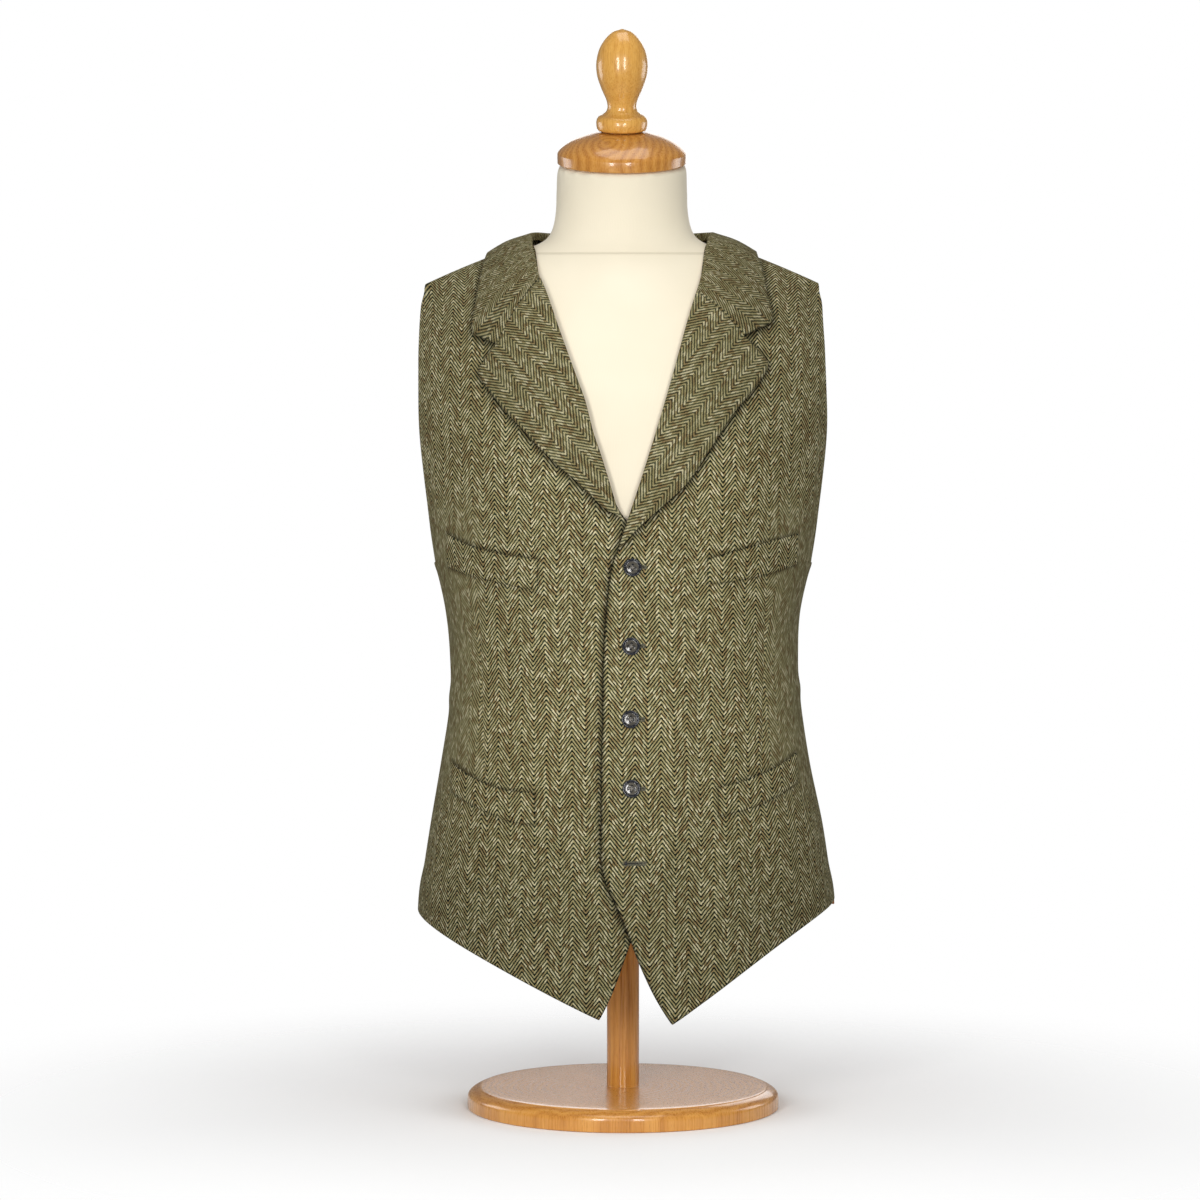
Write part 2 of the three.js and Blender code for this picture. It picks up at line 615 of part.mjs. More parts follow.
// The collar's stand rises from just above the back neckline to the inside of the fold.
function standGeometry() {
  const column = (row, side) => {
    const foot = new THREE.Vector3(side * row.inset, row.foldY, 0);
    const inward = new THREE.Vector3(-foot.x, STAND_CENTRE_Y - foot.y, 0).normalize();
    foot.addScaledVector(inward, STAND_CLEARANCE);
    foot.z = row.footZ;
    const top = foot.clone();
    top.z = row.foldZ - STAND_FOLD_GAP;
    return [foot, foot.clone().lerp(top, 0.5), top];
  };
  const outside = subdivideRows([
    ...COLLAR_BACK_ROWS.map((row) => column(row, 1)),
    ...COLLAR_BACK_ROWS.slice(0, -1).reverse().map((row) => column(row, -1)),
  ]);
  const normals = gridNormals(outside);
  const inside = outside.map((row, at) => row.map(
    (point, place) => point.clone().addScaledVector(normals[at][place], -TRIM_WALL)));
  return wallGeometry(outside, inside);
}

function solidOf(geometry) {
  const bare = geometry.clone();
  bare.deleteAttribute('normal');
  bare.deleteAttribute('uv');
  const merged = mergeVertices(bare, 1e-4);
  return new wasm.Manifold(new wasm.Mesh({
    numProp: 3,
    vertProperties: new Float32Array(merged.attributes.position.array),
    triVerts: new Uint32Array(merged.index.array),
  }));
}

function geometryOf(solid) {
  const mesh = solid.getMesh();
  const geometry = new THREE.BufferGeometry();
  geometry.setAttribute('position', new THREE.BufferAttribute(mesh.vertProperties, 3));
  geometry.setIndex(new THREE.BufferAttribute(mesh.triVerts, 1));
  geometry.computeVertexNormals();
  return geometry;
}

function buttonGeometry() {
  const half = BUTTON_THICKNESS / 2;
  const face = half - BUTTON_DISH_DEPTH;
  const profile = [
    [0, -half], [BUTTON_RADIUS - 1.6, -half], [BUTTON_RADIUS, -half + 1.2],
    [BUTTON_RADIUS, half - 0.6], [BUTTON_RADIUS - 0.6, half], [BUTTON_DISH_RADIUS + 0.7, half],
    [BUTTON_DISH_RADIUS, face + 0.1], [0, face],
  ].map(([radius, height]) => new THREE.Vector2(radius, height));
  const disc = new THREE.LatheGeometry(profile, BUTTON_SEGMENTS);
  let solid = solidOf(disc);
  for (let hole = 0; hole < 4; hole += 1) {
    const angle = hole * Math.PI / 2;
    const drill = new THREE.CylinderGeometry(BUTTON_HOLE_RADIUS, BUTTON_HOLE_RADIUS,
      2 * BUTTON_THICKNESS, 6);
    drill.translate(BUTTON_HOLE_OFFSET * Math.cos(angle), 0, BUTTON_HOLE_OFFSET * Math.sin(angle));
    solid = solid.subtract(solidOf(drill));
  }
  const geometry = geometryOf(solid);
  geometry.rotateX(Math.PI / 2);
  return geometry;
}

function ringSolid(rings) {
  const count = rings[0].length;
  const positions = rings.flat().flatMap((point) => point.toArray());
  const triangles = [];
  const at = (ring, place) => ring * count + place % count;
  for (let ring = 0; ring < rings.length - 1; ring += 1) {
    for (let place = 0; place < count; place += 1) {
      triangles.push(at(ring, place), at(ring, place + 1), at(ring + 1, place + 1));
      triangles.push(at(ring, place), at(ring + 1, place + 1), at(ring + 1, place));
    }
  }
  for (const [ring, turned] of [[0, true], [rings.length - 1, false]]) {
    for (let step = 0; step < count / 2 - 1; step += 1) {
      const [a, b] = [at(ring, step), at(ring, step + 1)];
      const [c, d] = [at(ring, count - 2 - step), at(ring, count - 1 - step)];
      for (const triangle of [[a, b, c], [a, c, d]]) {
        const kept = triangle.filter((corner, place) => triangle.indexOf(corner) === place);
        if (kept.length === 3) {
          triangles.push(...(turned ? triangle.reverse() : triangle));
        }
      }
    }
  }
  return solidOf(facingOut(positions, triangles));
}

// The torso follows the inside of the cloth, close at the shoulders and looser lower down, and
// ends in flat arm plates and a flat underside.
function formGeometry() {
  const start = indexAtHeight(FORM_BOTTOM - FORM_CHEST_GAP, 'front', () => 1);
  const stop = RIDGE - FORM_RIDGE_CUT;
  const rings = [];
  for (let step = 0; step <= FORM_RINGS; step += 1) {
    const index = THREE.MathUtils.lerp(start, stop, step / FORM_RINGS);
    const nearShoulder = smooth(THREE.MathUtils.mapLinear(
      index, RIDGE - FORM_GAP_NARROWS.from, RIDGE - FORM_GAP_NARROWS.to, 0, 1));
    const gap = THREE.MathUtils.lerp(FORM_CHEST_GAP, FORM_SHOULDER_GAP, nearShoulder);
    const ring = [];
    for (const side of [1, -1]) {
      for (let place = 0; place < FORM_SIDE_POINTS; place += 1) {
        const turn = 2 * place / FORM_SIDE_POINTS;
        const around = side > 0 ? turn : 2 - turn;
        ring.push(raised({ index, around }, side, -PANEL_WALL - gap));
      }
    }
    rings.push(ring);
  }
  const block = new THREE.BoxGeometry(2 * FORM_ARM_PLATE, FORM_BLOCK.depth, FORM_BLOCK.height);
  block.translate(0, 0, FORM_BOTTOM + FORM_BLOCK.height / 2);
  const torso = ringSolid(rings).intersect(solidOf(block));
  return geometryOf(torso.add(ringSolid(neckRings())));
}

function neckRings() {
  const rings = NECK_SECTIONS.map((section) => Array.from({ length: NECK_SEGMENTS },
    (unused, place) => {
      const angle = 2 * Math.PI * place / NECK_SEGMENTS;
      return new THREE.Vector3(
        NECK_TOP.x + section.halfWidth * Math.sin(angle),
        section.y - section.halfDepth * Math.cos(angle),
        section.height,
      );
    }));
  const top = Array.from({ length: NECK_SEGMENTS }, (unused, place) => {
    const angle = 2 * Math.PI * place / NECK_SEGMENTS;
    const point = new THREE.Vector3(Math.sin(angle), -Math.cos(angle), 0);
    return point.multiplyScalar(NECK_TOP_RADIUS)
      .applyAxisAngle(new THREE.Vector3(1, 0, 0), NECK_LEAN).add(NECK_TOP);
  });
  return [...rings, top];
}

function turnedGeometry(profile) {
  const points = profile.map(({ along, radius }) => new THREE.Vector2(radius, along));
  const geometry = new THREE.LatheGeometry(points, TURNED_SEGMENTS);
  geometry.rotateX(Math.PI / 2);
  return geometry;
}

const TWEED = new THREE.MeshStandardMaterial({ color: 0x746c50, roughness: 0.95 });
const SATIN = new THREE.MeshStandardMaterial({ color: 0x96582a, roughness: 0.4 });
const HORN = new THREE.MeshStandardMaterial({ color: 0x4b4641, roughness: 0.3 });
const JERSEY = new THREE.MeshStandardMaterial({ color: 0xf9efd6, roughness: 0.9 });
const WOOD = new THREE.MeshStandardMaterial({ color: 0xcf9b56, roughness: 0.25 });

const waistcoat = new THREE.Group();

function addPiece(name, geometry, material) {
  const piece = new THREE.Mesh(geometry, material);
  piece.name = name;
  waistcoat.add(piece);
  return piece;
}

addPiece('front_left', frontGeometry(FRONT_LEFT_ROWS, SHOULDER_TOP.left, 1, overlapLift), TWEED);
addPiece('front_right', frontGeometry(FRONT_RIGHT_ROWS, SHOULDER_TOP.right, -1, flatLift), TWEED);
addPiece('back_left', backGeometry(SHOULDER_TOP.left, 1), SATIN);
addPiece('back_right', backGeometry(SHOULDER_TOP.right, -1), SATIN);
addPiece('lapel_left', lapelGeometry(LAPEL_LEFT_ROWS, 1, overlapLift), TWEED);
addPiece('lapel_right', lapelGeometry(LAPEL_RIGHT_ROWS, -1, flatLift), TWEED);
addPiece('collar', collarGeometry(), TWEED);
addPiece('collar_stand', standGeometry(), TWEED);
for (const [name, stations] of Object.entries(WELTS)) {
  addPiece(name, weltGeometry(stations, name.endsWith('left') ? 1 : -1), TWEED);
}

BUTTONS.forEach((button, order) => {
  const place = placeAtX(button.x, button.height, 1);
  const cloth = button.hidden ? 0 : overlapLift(place, 1);
  const piece = addPiece(`button_${order + 1}`, buttonGeometry(), HORN);
  piece.position.copy(raised(place, 1, cloth + SEAM_GAP + BUTTON_THICKNESS / 2));
  piece.quaternion.setFromUnitVectors(
    new THREE.Vector3(0, 0, 1), bodyNormal(place.index, place.around, 1));
});

addPiece('form_torso', formGeometry(), JERSEY);
for (const [name, profile] of [['neck_cap', CAP_PROFILE], ['cap_knob', KNOB_PROFILE]]) {
  const piece = addPiece(name, turnedGeometry(profile), WOOD);
  piece.position.copy(NECK_TOP);
  piece.rotation.x = NECK_LEAN;
}

const poleLength = FORM_BOTTOM - BASE_THICKNESS - 2 * SEAM_GAP;
const pole = addPiece('stand_pole',
  new THREE.CylinderGeometry(POLE_RADIUS, POLE_RADIUS, poleLength, 24), WOOD);
pole.rotation.x = Math.PI / 2;
pole.position.z = BASE_THICKNESS + SEAM_GAP + poleLength / 2;

const baseProfile = [
  { along: 0, radius: 0 },
  { along: 0, radius: BASE_RADIUS - 1.5 },
  { along: 1.5, radius: BASE_RADIUS },
  { along: BASE_THICKNESS - BASE_ROUNDING * 0.6, radius: BASE_RADIUS },
  { along: BASE_THICKNESS - BASE_ROUNDING * 0.15, radius: BASE_RADIUS - BASE_ROUNDING * 0.45 },
  { along: BASE_THICKNESS, radius: BASE_RADIUS - BASE_ROUNDING },
  { along: BASE_THICKNESS, radius: 0 },
];
addPiece('stand_base', turnedGeometry(baseProfile), WOOD);

export default waistcoat;
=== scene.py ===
"""A herringbone tweed waistcoat with notched lapels, buttoned on a limbless dress form.

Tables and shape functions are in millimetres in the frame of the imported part: +Z up, the front
faces -Y and +X is the wearer's left. Meshes are made in metres.
"""
import math

import bpy
import numpy as np
from mathutils import Matrix, Vector


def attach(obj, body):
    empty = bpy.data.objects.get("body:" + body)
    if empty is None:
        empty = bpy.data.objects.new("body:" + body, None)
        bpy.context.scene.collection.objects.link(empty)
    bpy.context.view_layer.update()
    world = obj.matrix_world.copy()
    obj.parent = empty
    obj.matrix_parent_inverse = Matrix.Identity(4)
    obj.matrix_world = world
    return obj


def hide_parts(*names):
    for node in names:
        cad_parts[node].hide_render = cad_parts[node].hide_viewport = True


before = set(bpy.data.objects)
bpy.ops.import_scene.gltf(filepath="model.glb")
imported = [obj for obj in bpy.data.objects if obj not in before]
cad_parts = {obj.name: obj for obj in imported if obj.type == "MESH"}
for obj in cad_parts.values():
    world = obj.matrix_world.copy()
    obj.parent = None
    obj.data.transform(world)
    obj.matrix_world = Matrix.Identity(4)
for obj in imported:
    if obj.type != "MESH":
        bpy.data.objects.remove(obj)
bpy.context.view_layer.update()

MM = 0.001

# Camera: level, in front of the form, with the photograph's square frame
CAMERA_AT = (-0.020, -2.600, 0.440)
FRAME_WIDTH = 1.044
SENSOR = 36.0

camera = bpy.data.objects.new("camera", bpy.data.cameras.new("camera"))
bpy.context.collection.objects.link(camera)
camera.location = CAMERA_AT
camera.rotation_euler = (math.pi / 2, 0, 0)
camera.data.sensor_width = SENSOR
camera.data.lens = SENSOR * abs(CAMERA_AT[1]) / FRAME_WIDTH
bpy.context.scene.camera = camera

# Cloth walls and how pieces lie on each other
PANEL_WALL = 2.2
LAPEL_WALL = 1.9
TRIM_GAP = 0.8
TRIM_LIFT = TRIM_GAP + LAPEL_WALL
SEAM_GAP = 0.35
ROLL_RADIUS = 2.6
LIP_LENGTH = 7.0
FOLD_TURN = math.pi * 0.97
LEAF_BELLY = 1.4
EDGE_SPRING = 1.5
TUCK = 2.4
RIM_ROUNDING = 0.36

# Painted shade of the cloth: how much of a rim's painted shade a sewn edge keeps, how much
# painted shade darkens the folded pieces and how calm their weave is, and the half width and
# depth of the painted shadow beside each edge
SEWN_EDGE = 0.25
LAPEL_PAINTED_SHADE, COLLAR_PAINTED_SHADE = 0.17, 0.22
TRIM_CALM = 0.30
LAPEL_SHADE = (4.6, 0.76)
COLLAR_SHADE = (5.2, 0.68)
LAP_SHADE = (4.0, 0.80)
LAP_OWN_EDGE_SHADE = (1.3, 0.50)
WELT_TOP_SHADE = (2.2, 0.55)
WELT_FOOT_SHADE = (1.8, 0.42)
WELT_END_SHADE = (1.6, 0.34)

# Weave of the tweed: one end is a warp yarn's width, a column is one slope of the herringbone
END_WIDTH = 0.725
COLUMN_WIDTH = 15 * END_WIDTH
TWILL_REPEAT = 3.86
TWILL_SLOPE = TWILL_REPEAT / (4 * END_WIDTH)
ENDS_TOGETHER = 3
WARP_WANDER = 2.2
WEFT_JITTER = 1.2
EVEN_LIGHT = 0.44
LEFT_PEAK = 7.0
RIGHT_PEAK = 23.8
LAPEL_LEFT_TURN = math.radians(38.6)
LAPEL_RIGHT_TURN = math.radians(42.0)

# The cloth's outer face by level: height, half width, front depth, back depth, squareness,
# how far the level sinks from the middle to the side, and its shift along X
LEVELS = np.array([
    (70, 182, 114, 106, 2.35, 0, 3),
    (175, 181, 116, 105, 2.35, 0, 3),
    (215, 175, 116, 103, 2.35, 0, 3),
    (250, 169.5, 113, 100, 2.35, 0, 3),
    (300, 160, 108, 94, 2.35, 0, 2),
    (350, 152.5, 104, 89, 2.3, 0, 2),
    (385, 151, 104, 88, 2.3, 0, 1),
    (430, 154, 108, 93, 2.3, 0, 0),
    (470, 162.5, 113, 100, 2.3, 0, 0),
    (510, 171, 117, 106, 2.35, 0, 0),
    (565, 179, 118, 113, 2.35, 3, 0),
    (622, 184.5, 113, 114, 2.25, 10, 0),
    (670, 186, 102, 108, 2.05, 21, 0),
    (708, 185, 85, 96, 1.8, 33, 0),
    (736, 183, 64, 80, 1.6, 44, 0),
    (754, 180, 42, 62, 1.5, 51, 0),
    (764, 179, 22, 40, 1.5, 55, 0),
    (768, 178, 0, 0, 1.5, 56, 0),
], float)
RIDGE = len(LEVELS) - 1
DROP_POWER = 1.5
SHOULDER_SEAM = RIDGE + 0.45
SIDE_SEAM = 0.9997

# Rows of a front: free edge x and height, how far round the other end is, its height, and bow
FRONT_LEFT_ROWS = [
    (40, 87.5, 1, 184, 15), (22, 118, 1, 200, 9), (6.6, 155, 1, 218, 4), (-7, 188, 1, 236, 1),
    (-17, 214, 1, 252, 0), (-18.3, 257, 1, 284, 0), (-17.5, 323, 1, 335, 0),
    (-16.7, 381, 1, 385, 0), (-14.5, 425, 1, 428, 0), (-10, 466, 1, 470, 0),
    (-4.5, 482, 0.95, 472.5, 0), (0.5, 500, 0.905, 485, 0), (6.3, 518, 0.855, 513, 0),
    (15, 544, 0.836, 545, 0), (25, 576, 0.82, 582, 0), (34.5, 608, 0.775, 622, 0),
    (45, 645, 0.76, 655, 0), (55, 682, 0.765, 682, 0), (64, 713.5, 0.785, 700, 0),
]
FRONT_RIGHT_ROWS = [
    (-21, 91, 1, 174, 10), (-9.5, 115, 1, 190, 6), (3, 150, 1, 212, 3), (18, 184, 1, 232, 1),
    (30, 214, 1, 252, 0), (31.3, 257, 1, 284, 0), (30.5, 323, 1, 335, 0),
    (29.7, 381, 1, 385, 0), (27.5, 425, 1, 428, 0), (21, 466, 1, 470, 0),
    (14, 484, 0.95, 472.5, 0), (4, 502, 0.905, 485, 0), (-5.9, 518, 0.855, 513, 0),
    (-13.5, 544, 0.836, 545, 0), (-24, 576, 0.825, 582, 0), (-32.5, 608, 0.795, 622, 0),
    (-46, 645, 0.79, 655, 0), (-59, 682, 0.8, 682, 0), (-70, 713.5, 0.815, 700, 0),
]
SHOULDER_TOP = {1: (73, 0.805), -1: (-78, 0.83)}

# Rows of a back: distance from the middle line, height, how far round the other end is, height
BACK_ROWS = [
    (0, 164, 1, 176), (0, 210, 1, 215), (0, 250, 1, 252), (0, 300, 1, 300), (0, 345, 1, 345),
    (0, 385, 1, 385), (0, 430, 1, 428), (0, 480, 1, 470), (0, 515, 0.955, 473),
    (0, 552, 0.91, 487), (0, 592, 0.865, 515), (0, 630, 0.82, 555), (0, 668, 0.785, 600),
    (0, 706, 0.775, 640), (0, 738, 0.785, 672), (30, 740, 0.795, 690), (56, 745, 0.8, 701),
]

# Rows of a lapel: roll line x and height, free edge x and height
LAPEL_LEFT_ROWS = [
    (-4, 485, 0, 488), (0.7, 501, 14, 502.5), (6.5, 518.5, 33, 519.5), (12, 535, 52.7, 538),
    (19, 557, 70, 564), (26.5, 581, 88, 592), (34, 606, 106.4, 615), (39.5, 625, 119.6, 635),
    (45.5, 647, 114, 645), (52, 671, 107, 653.5), (60.5, 699, 99.2, 660.6),
]
LAPEL_RIGHT_ROWS = [
    (-1.6, 509, -6.5, 511), (-6, 518.5, -17.5, 517.5), (-11.5, 537, -36.6, 536.4),
    (-18.5, 560, -60, 557), (-25.3, 580, -84.6, 583), (-31.7, 605, -104, 605),
    (-38.5, 624, -120, 629), (-47, 648, -115.5, 640), (-56.7, 676, -111, 647),
    (-69.5, 712, -105, 653.2),
]

# Rows of the collar on the front: fold x and height, lift of the fold, free edge x and height
COLLAR_LEFT_ROWS = [
    (61, 700, 0, 99.6, 661.3), (63, 706, 0.3, 112, 667.5), (65, 713, 0.6, 124.4, 676),
    (67.5, 724, 1, 121, 696), (70, 738, 1.6, 118.5, 717), (72, 749, 2.6, 115, 733),
    (74, 770, 5, 113.5, 770),
]
COLLAR_RIGHT_ROWS = [
    (-70.5, 713, 0, -105.4, 653.9), (-72, 718, 0.3, -117, 659.5), (-73.5, 724, 0.6, -126.8, 666.5),
    (-75, 732, 1, -124.5, 688), (-77, 741, 1.6, -121.5, 711), (-77.5, 749, 2.6, -118, 731),
    (-77.5, 770, 5, -115, 770),
]
# Rows of the collar behind the shoulder: fold distance from the middle, depth and height, height
# of the stand's foot, free edge distance from the middle and height, and bulge
COLLAR_BACK_ROWS = [
    (75, 20, 763, 754, 109.5, 735, 3.5), (64, 48, 766, 750, 91, 726, 2.5),
    (38, 71, 767, 743, 52, 719.5, 1.5), (0, 79.5, 767, 741, 0, 718, 1.5),
]
STAND_CENTRE_Y = 12

# Welts: x, top and bottom at each station across
WELTS = {
    "chest_welt_left": [(70, 474, 453.5), (96, 481.5, 456.5), (125, 490, 463), (147.5, 496, 470.5)],
    "chest_welt_right": [
        (-72, 474, 448), (-96, 477.5, 452.5), (-124, 484, 459.5), (-149.5, 496.5, 468)],
    "lower_welt_left": [(79, 282.5, 260), (102, 288.5, 264.5), (126, 297.5, 273), (147, 310, 284.5)],
    "lower_welt_right": [
        (-74.5, 279, 252.5), (-98, 280, 255.5), (-122, 287.5, 264.5), (-146, 302, 277)],
}
WELT_SWELL = 0.5
WELT_SINK, WELT_PRESS = 1.0, 1.1

# Buttons from the top, as x and height; the last lies unfastened under the left front
BUTTONS = [(6.9, 467.7), (5.9, 401.9), (5.5, 340.2), (6.2, 282.5), (9.5, 221)]
SHOWN_BUTTONS, HIDDEN_BUTTON = BUTTONS[:4], BUTTONS[4]
BUTTON_RADIUS = 7.5
BUTTON_THICKNESS = 3.0
BUTTON_TURN = math.radians(-8)
BUTTON_RIM, BUTTON_RIM_HALF = 6.75, 0.85
BUTTON_HOLES = 4
HOLE_RING, HOLE_RADIUS = 2.3, 1.05

OVERLAP_LIFT, OVERLAP_FADE_X, OVERLAP_FADE_WIDTH = 3, 64, 26
OVERLAP_FADE_TOP, OVERLAP_FADE_HEIGHT = 570, 50
BULGE_LIFT, BULGE_RADIUS, BULGE_PLATEAU = 4.4, 30, 0.35

# Darts: x at the top and bottom, and the cloth taken in at each height
DART_TOP, DART_BOTTOM = 452, 238
DARTS = {1: (121, 115), -1: (-124, -115)}
DART_HEIGHTS = [238, 300, 385, 452]
DART_INTAKE = [4, 9, 14, 0]
DART_DEPTH = 0.75
DART_EVENING = 9
# Beyond the darts, round the waist, the weave looks smoother
SIDE_CALM_X, SIDE_CALM_WIDTH = 112, 26
WAIST_CALM_BOTTOM, WAIST_CALM_TOP = 250, 545

# Creases of the fronts and backs: both ends as x and height, half width of the ridge, and its
# height as a share of CREASE_HEIGHT
CREASE_HEIGHT = 1.7
CREASES = {
    ("front", 1): [
        (186, 380, 118, 352, 9, 0.9), (172, 425, 112, 405, 11, -0.9), (178, 455, 140, 500, 8, 0.8),
        (60, 560, 30, 470, 14, 0.5), (30, 300, 100, 330, 16, -0.5), (150, 190, 120, 250, 10, 0.7),
        (165, 560, 120, 520, 14, -0.9), (100, 150, 60, 240, 18, 0.6),
    ],
    ("front", -1): [
        (-184, 372, -112, 340, 10, 1.0), (-170, 415, -118, 400, 9, -0.9),
        (-176, 462, -136, 492, 8, 0.9), (-58, 556, -26, 480, 13, 0.5), (-36, 320, -96, 300, 15, -0.5),
        (-146, 186, -110, 236, 12, 0.8), (-166, 575, -118, 530, 14, -0.9), (-90, 140, -50, 220, 16, 0.5),
    ],
    ("back", 1): [
        (4, 392, 112, 378, 7, 1.1), (8, 362, 134, 344, 8, -1.0), (152, 418, 66, 404, 8, 1.0),
        (160, 470, 112, 560, 9, -1.1), (40, 640, 130, 668, 10, 0.9), (18, 250, 34, 170, 8, 0.8),
        (118, 214, 150, 300, 9, -1.0), (20, 420, 96, 436, 7, 0.9), (152, 330, 96, 312, 7, 0.8),
        (60, 700, 118, 610, 9, -0.8), (10, 330, 70, 322, 6, 0.8), (84, 176, 104, 262, 8, 0.9),
        (168, 540, 138, 612, 8, 0.9),
    ],
    ("back", -1): [
        (-4, 384, -120, 368, 8, 1.1), (-9, 350, -126, 334, 7, -1.0), (-148, 428, -76, 402, 8, 1.0),
        (-164, 490, -106, 568, 9, -1.1), (-50, 650, -136, 664, 10, 0.9), (-26, 262, -48, 168, 8, 0.8),
        (-124, 208, -148, 288, 9, -1.0), (-14, 414, -88, 440, 7, 0.9), (-150, 322, -102, 306, 7, 0.8),
        (-66, 696, -112, 604, 9, -0.8), (-12, 322, -78, 312, 6, 0.8), (-88, 180, -98, 256, 8, 0.9),
        (-166, 552, -140, 620, 8, 0.9),
    ],
}

# Dress form, cap and stand
FORM_BOTTOM = 195
FORM_CHEST_GAP = 7
FORM_SHOULDER_GAP = 0.8
FORM_ARM_PLATE = 161
FORM_VOXEL = 3.2
SOFTEN_STEPS, SOFTEN_STEPS_EVERYWHERE = 60, 8
NECK_FOOT_Y, NECK_BLEND_RADIUS = 8, 125
NECK_BLEND_BOTTOM, NECK_BLEND_TOP = 690, 792
NECK_LEAN = math.radians(17)
NECK_TOP = np.array([-1.0, -8.0, 818.0])
NECK_TOP_RADIUS = 56.3
# Sections of the neck: height, half width, half depth and middle along Y
NECK_SECTIONS = np.array([
    (690, 98, 56, 8), (718, 82, 60, 9), (738, 70, 60, 11), (752, 63.5, 58.5, 10),
    (772, 59, 56.5, 5), (795, 56.8, 56, -1),
], float)
NECK_SEAM_HEIGHT, NECK_SEAM_Y, NECK_SEAM_SLOPE = 742.0, 10.0, -0.10
KNIT_COLUMN, KNIT_COURSE = 1.3, 0.9
# Distance along the axis and radius there; a repeated point keeps its corner
CAP_PROFILE = [
    (0.3, 0), (0.3, 0), (0.3, 54.6), (0.3, 54.6), (1.2, 55.8), (2.6, 56), (8.6, 56), (11, 55),
    (14.5, 51.6), (19.5, 44.2), (23.6, 35.2), (26.4, 25.5), (28, 18), (28, 0), (28, 0),
]
KNOB_PROFILE = [
    (28.4, 0), (28.4, 0), (28.4, 17.6), (28.4, 17.6), (29.6, 20.6), (32, 21.9), (36, 22.3),
    (39.4, 21.6), (41.8, 19.6), (43.6, 16.2), (46, 13.6), (49, 12.6), (52.4, 12.8), (57, 14.2),
    (66, 18.2), (77, 21.7), (88, 22.2), (99, 19.6), (108, 14), (114, 7), (116, 0), (116, 0),
]
POLE_RADIUS = 14
BASE_RADIUS = 135
BASE_THICKNESS = 18
POLE_PROFILE = [
    (18.35, 0), (18.35, 0), (18.35, 13.4), (18.35, 13.4), (19, POLE_RADIUS), (21, POLE_RADIUS),
    (100, POLE_RADIUS), (192, POLE_RADIUS), (194, 13.9), (194.65, 13.2), (194.65, 13.2),
    (194.65, 0), (194.65, 0),
]
BASE_PROFILE = [
    (0, 0), (0, 0), (0, 133.6), (0, 133.6), (0.5, 134.7), (1.8, BASE_RADIUS), (9, BASE_RADIUS),
    (12.4, 134), (15.2, 130.6), (17.2, 125.6), (BASE_THICKNESS, 118), (BASE_THICKNESS, 60),
    (BASE_THICKNESS, 0), (BASE_THICKNESS, 0),
]


def smooth(value):
    t = np.clip(value, 0, 1)
    return t * t * (3 - 2 * t)


def curve_between(before, start, end, after, t):
    """A point of the smooth curve through four, between the middle two."""
    linear = (end - before) * t
    square = (2 * before - 5 * start + 4 * end - after) * t * t
    cube = (3 * start - before - 3 * end + after) * t * t * t
    return start + 0.5 * (linear + square + cube)


def along_curve(points, position):
    """Points of a smooth curve through rows of a table, at fractional row numbers."""
    last = len(points) - 1
    start = np.clip(np.floor(position).astype(int), 0, last - 1)
    near = [points[np.clip(start + step, 0, last)] for step in (-1, 0, 1, 2)]
    t = (position - start).reshape(position.shape + (1,) * (points.ndim - 1))
    return curve_between(*near, t)


def unit(vectors):
    return vectors / np.maximum(np.linalg.norm(vectors, axis=-1, keepdims=True), 1e-9)


# The body surface: one index runs up the front, over the shoulder ridge and down the back
FRONT_FACES = LEVELS * [1, 1, -1, 1, 1, 1, 1]
BACK_FACES = LEVELS[-2::-1][:, [0, 1, 3, 2, 4, 5, 6]] * [1, 1, 1, -1, 1, 1, 1]
FACES = np.concatenate([FRONT_FACES, BACK_FACES])


def body_point(index, around, side):
    sections = along_curve(FACES, np.asarray(index, float))
    height, half_width, depth, far_depth, squareness, drop, centre = np.moveaxis(sections, -1, 0)
    across = np.sin(around * np.pi / 2)
    reach = np.minimum(1, np.abs(across))
    depth = np.where(around > 1, far_depth, depth)
    x = centre + side * half_width * across
    y = depth * (1 - reach ** squareness) ** (1 / squareness)
    z = height - drop * reach ** DROP_POWER
    return np.stack([x, y, z], -1)


def body_normal(index, around, side):
    along = body_point(index, around + 0.004, side) - body_point(index, around - 0.004, side)
    above = np.minimum(index + 0.02, len(FACES) - 1)
    below = np.maximum(index - 0.02, 0)
    up = body_point(above, around, side) - body_point(below, around, side)
    return unit(np.cross(along, up) * side)


def index_at(height, face, reach_of):
    """Where the body reaches a height on its front or back."""
    low = np.full(height.shape, 0.0 if face == "front" else len(FACES) - 1.0)
    high = np.full(height.shape, float(RIDGE))
    for _ in range(40):
        middle = (low + high) / 2
        section = along_curve(FACES, middle)
        reach = np.clip(reach_of(section), 0, 1)
        below = section[..., 0] - section[..., 5] * reach ** DROP_POWER < height
        low = np.where(below, middle, low)
        high = np.where(below, high, middle)
    return (low + high) / 2


def around_at_x(index, x, side):
    section = along_curve(FACES, index)
    across = np.clip(side * (x - section[..., 6]) / section[..., 1], -1, 1)
    return np.arcsin(across) * 2 / np.pi


def place_at_x(x, height, side, face="front"):
    """Index and around of a point of the body given by its x and height."""
    x, height = np.asarray(x, float), np.asarray(height, float)
    index = index_at(height, face, lambda section: np.abs(x - section[..., 6]) / section[..., 1])
    return np.stack([index, around_at_x(index, x, side)], -1)


def place_around(around, height, face="front"):
    around, height = np.asarray(around, float), np.asarray(height, float)
    reach = np.sin(around * np.pi / 2)
    index = index_at(height, face, lambda section: reach)
    return np.stack([index, np.minimum(around, SIDE_SEAM)], -1)


def raised(places, side, lift):
    index, around = places[..., 0], places[..., 1]
    lift = np.broadcast_to(lift, index.shape)[..., None]
    return body_point(index, around, side) + body_normal(index, around, side) * lift


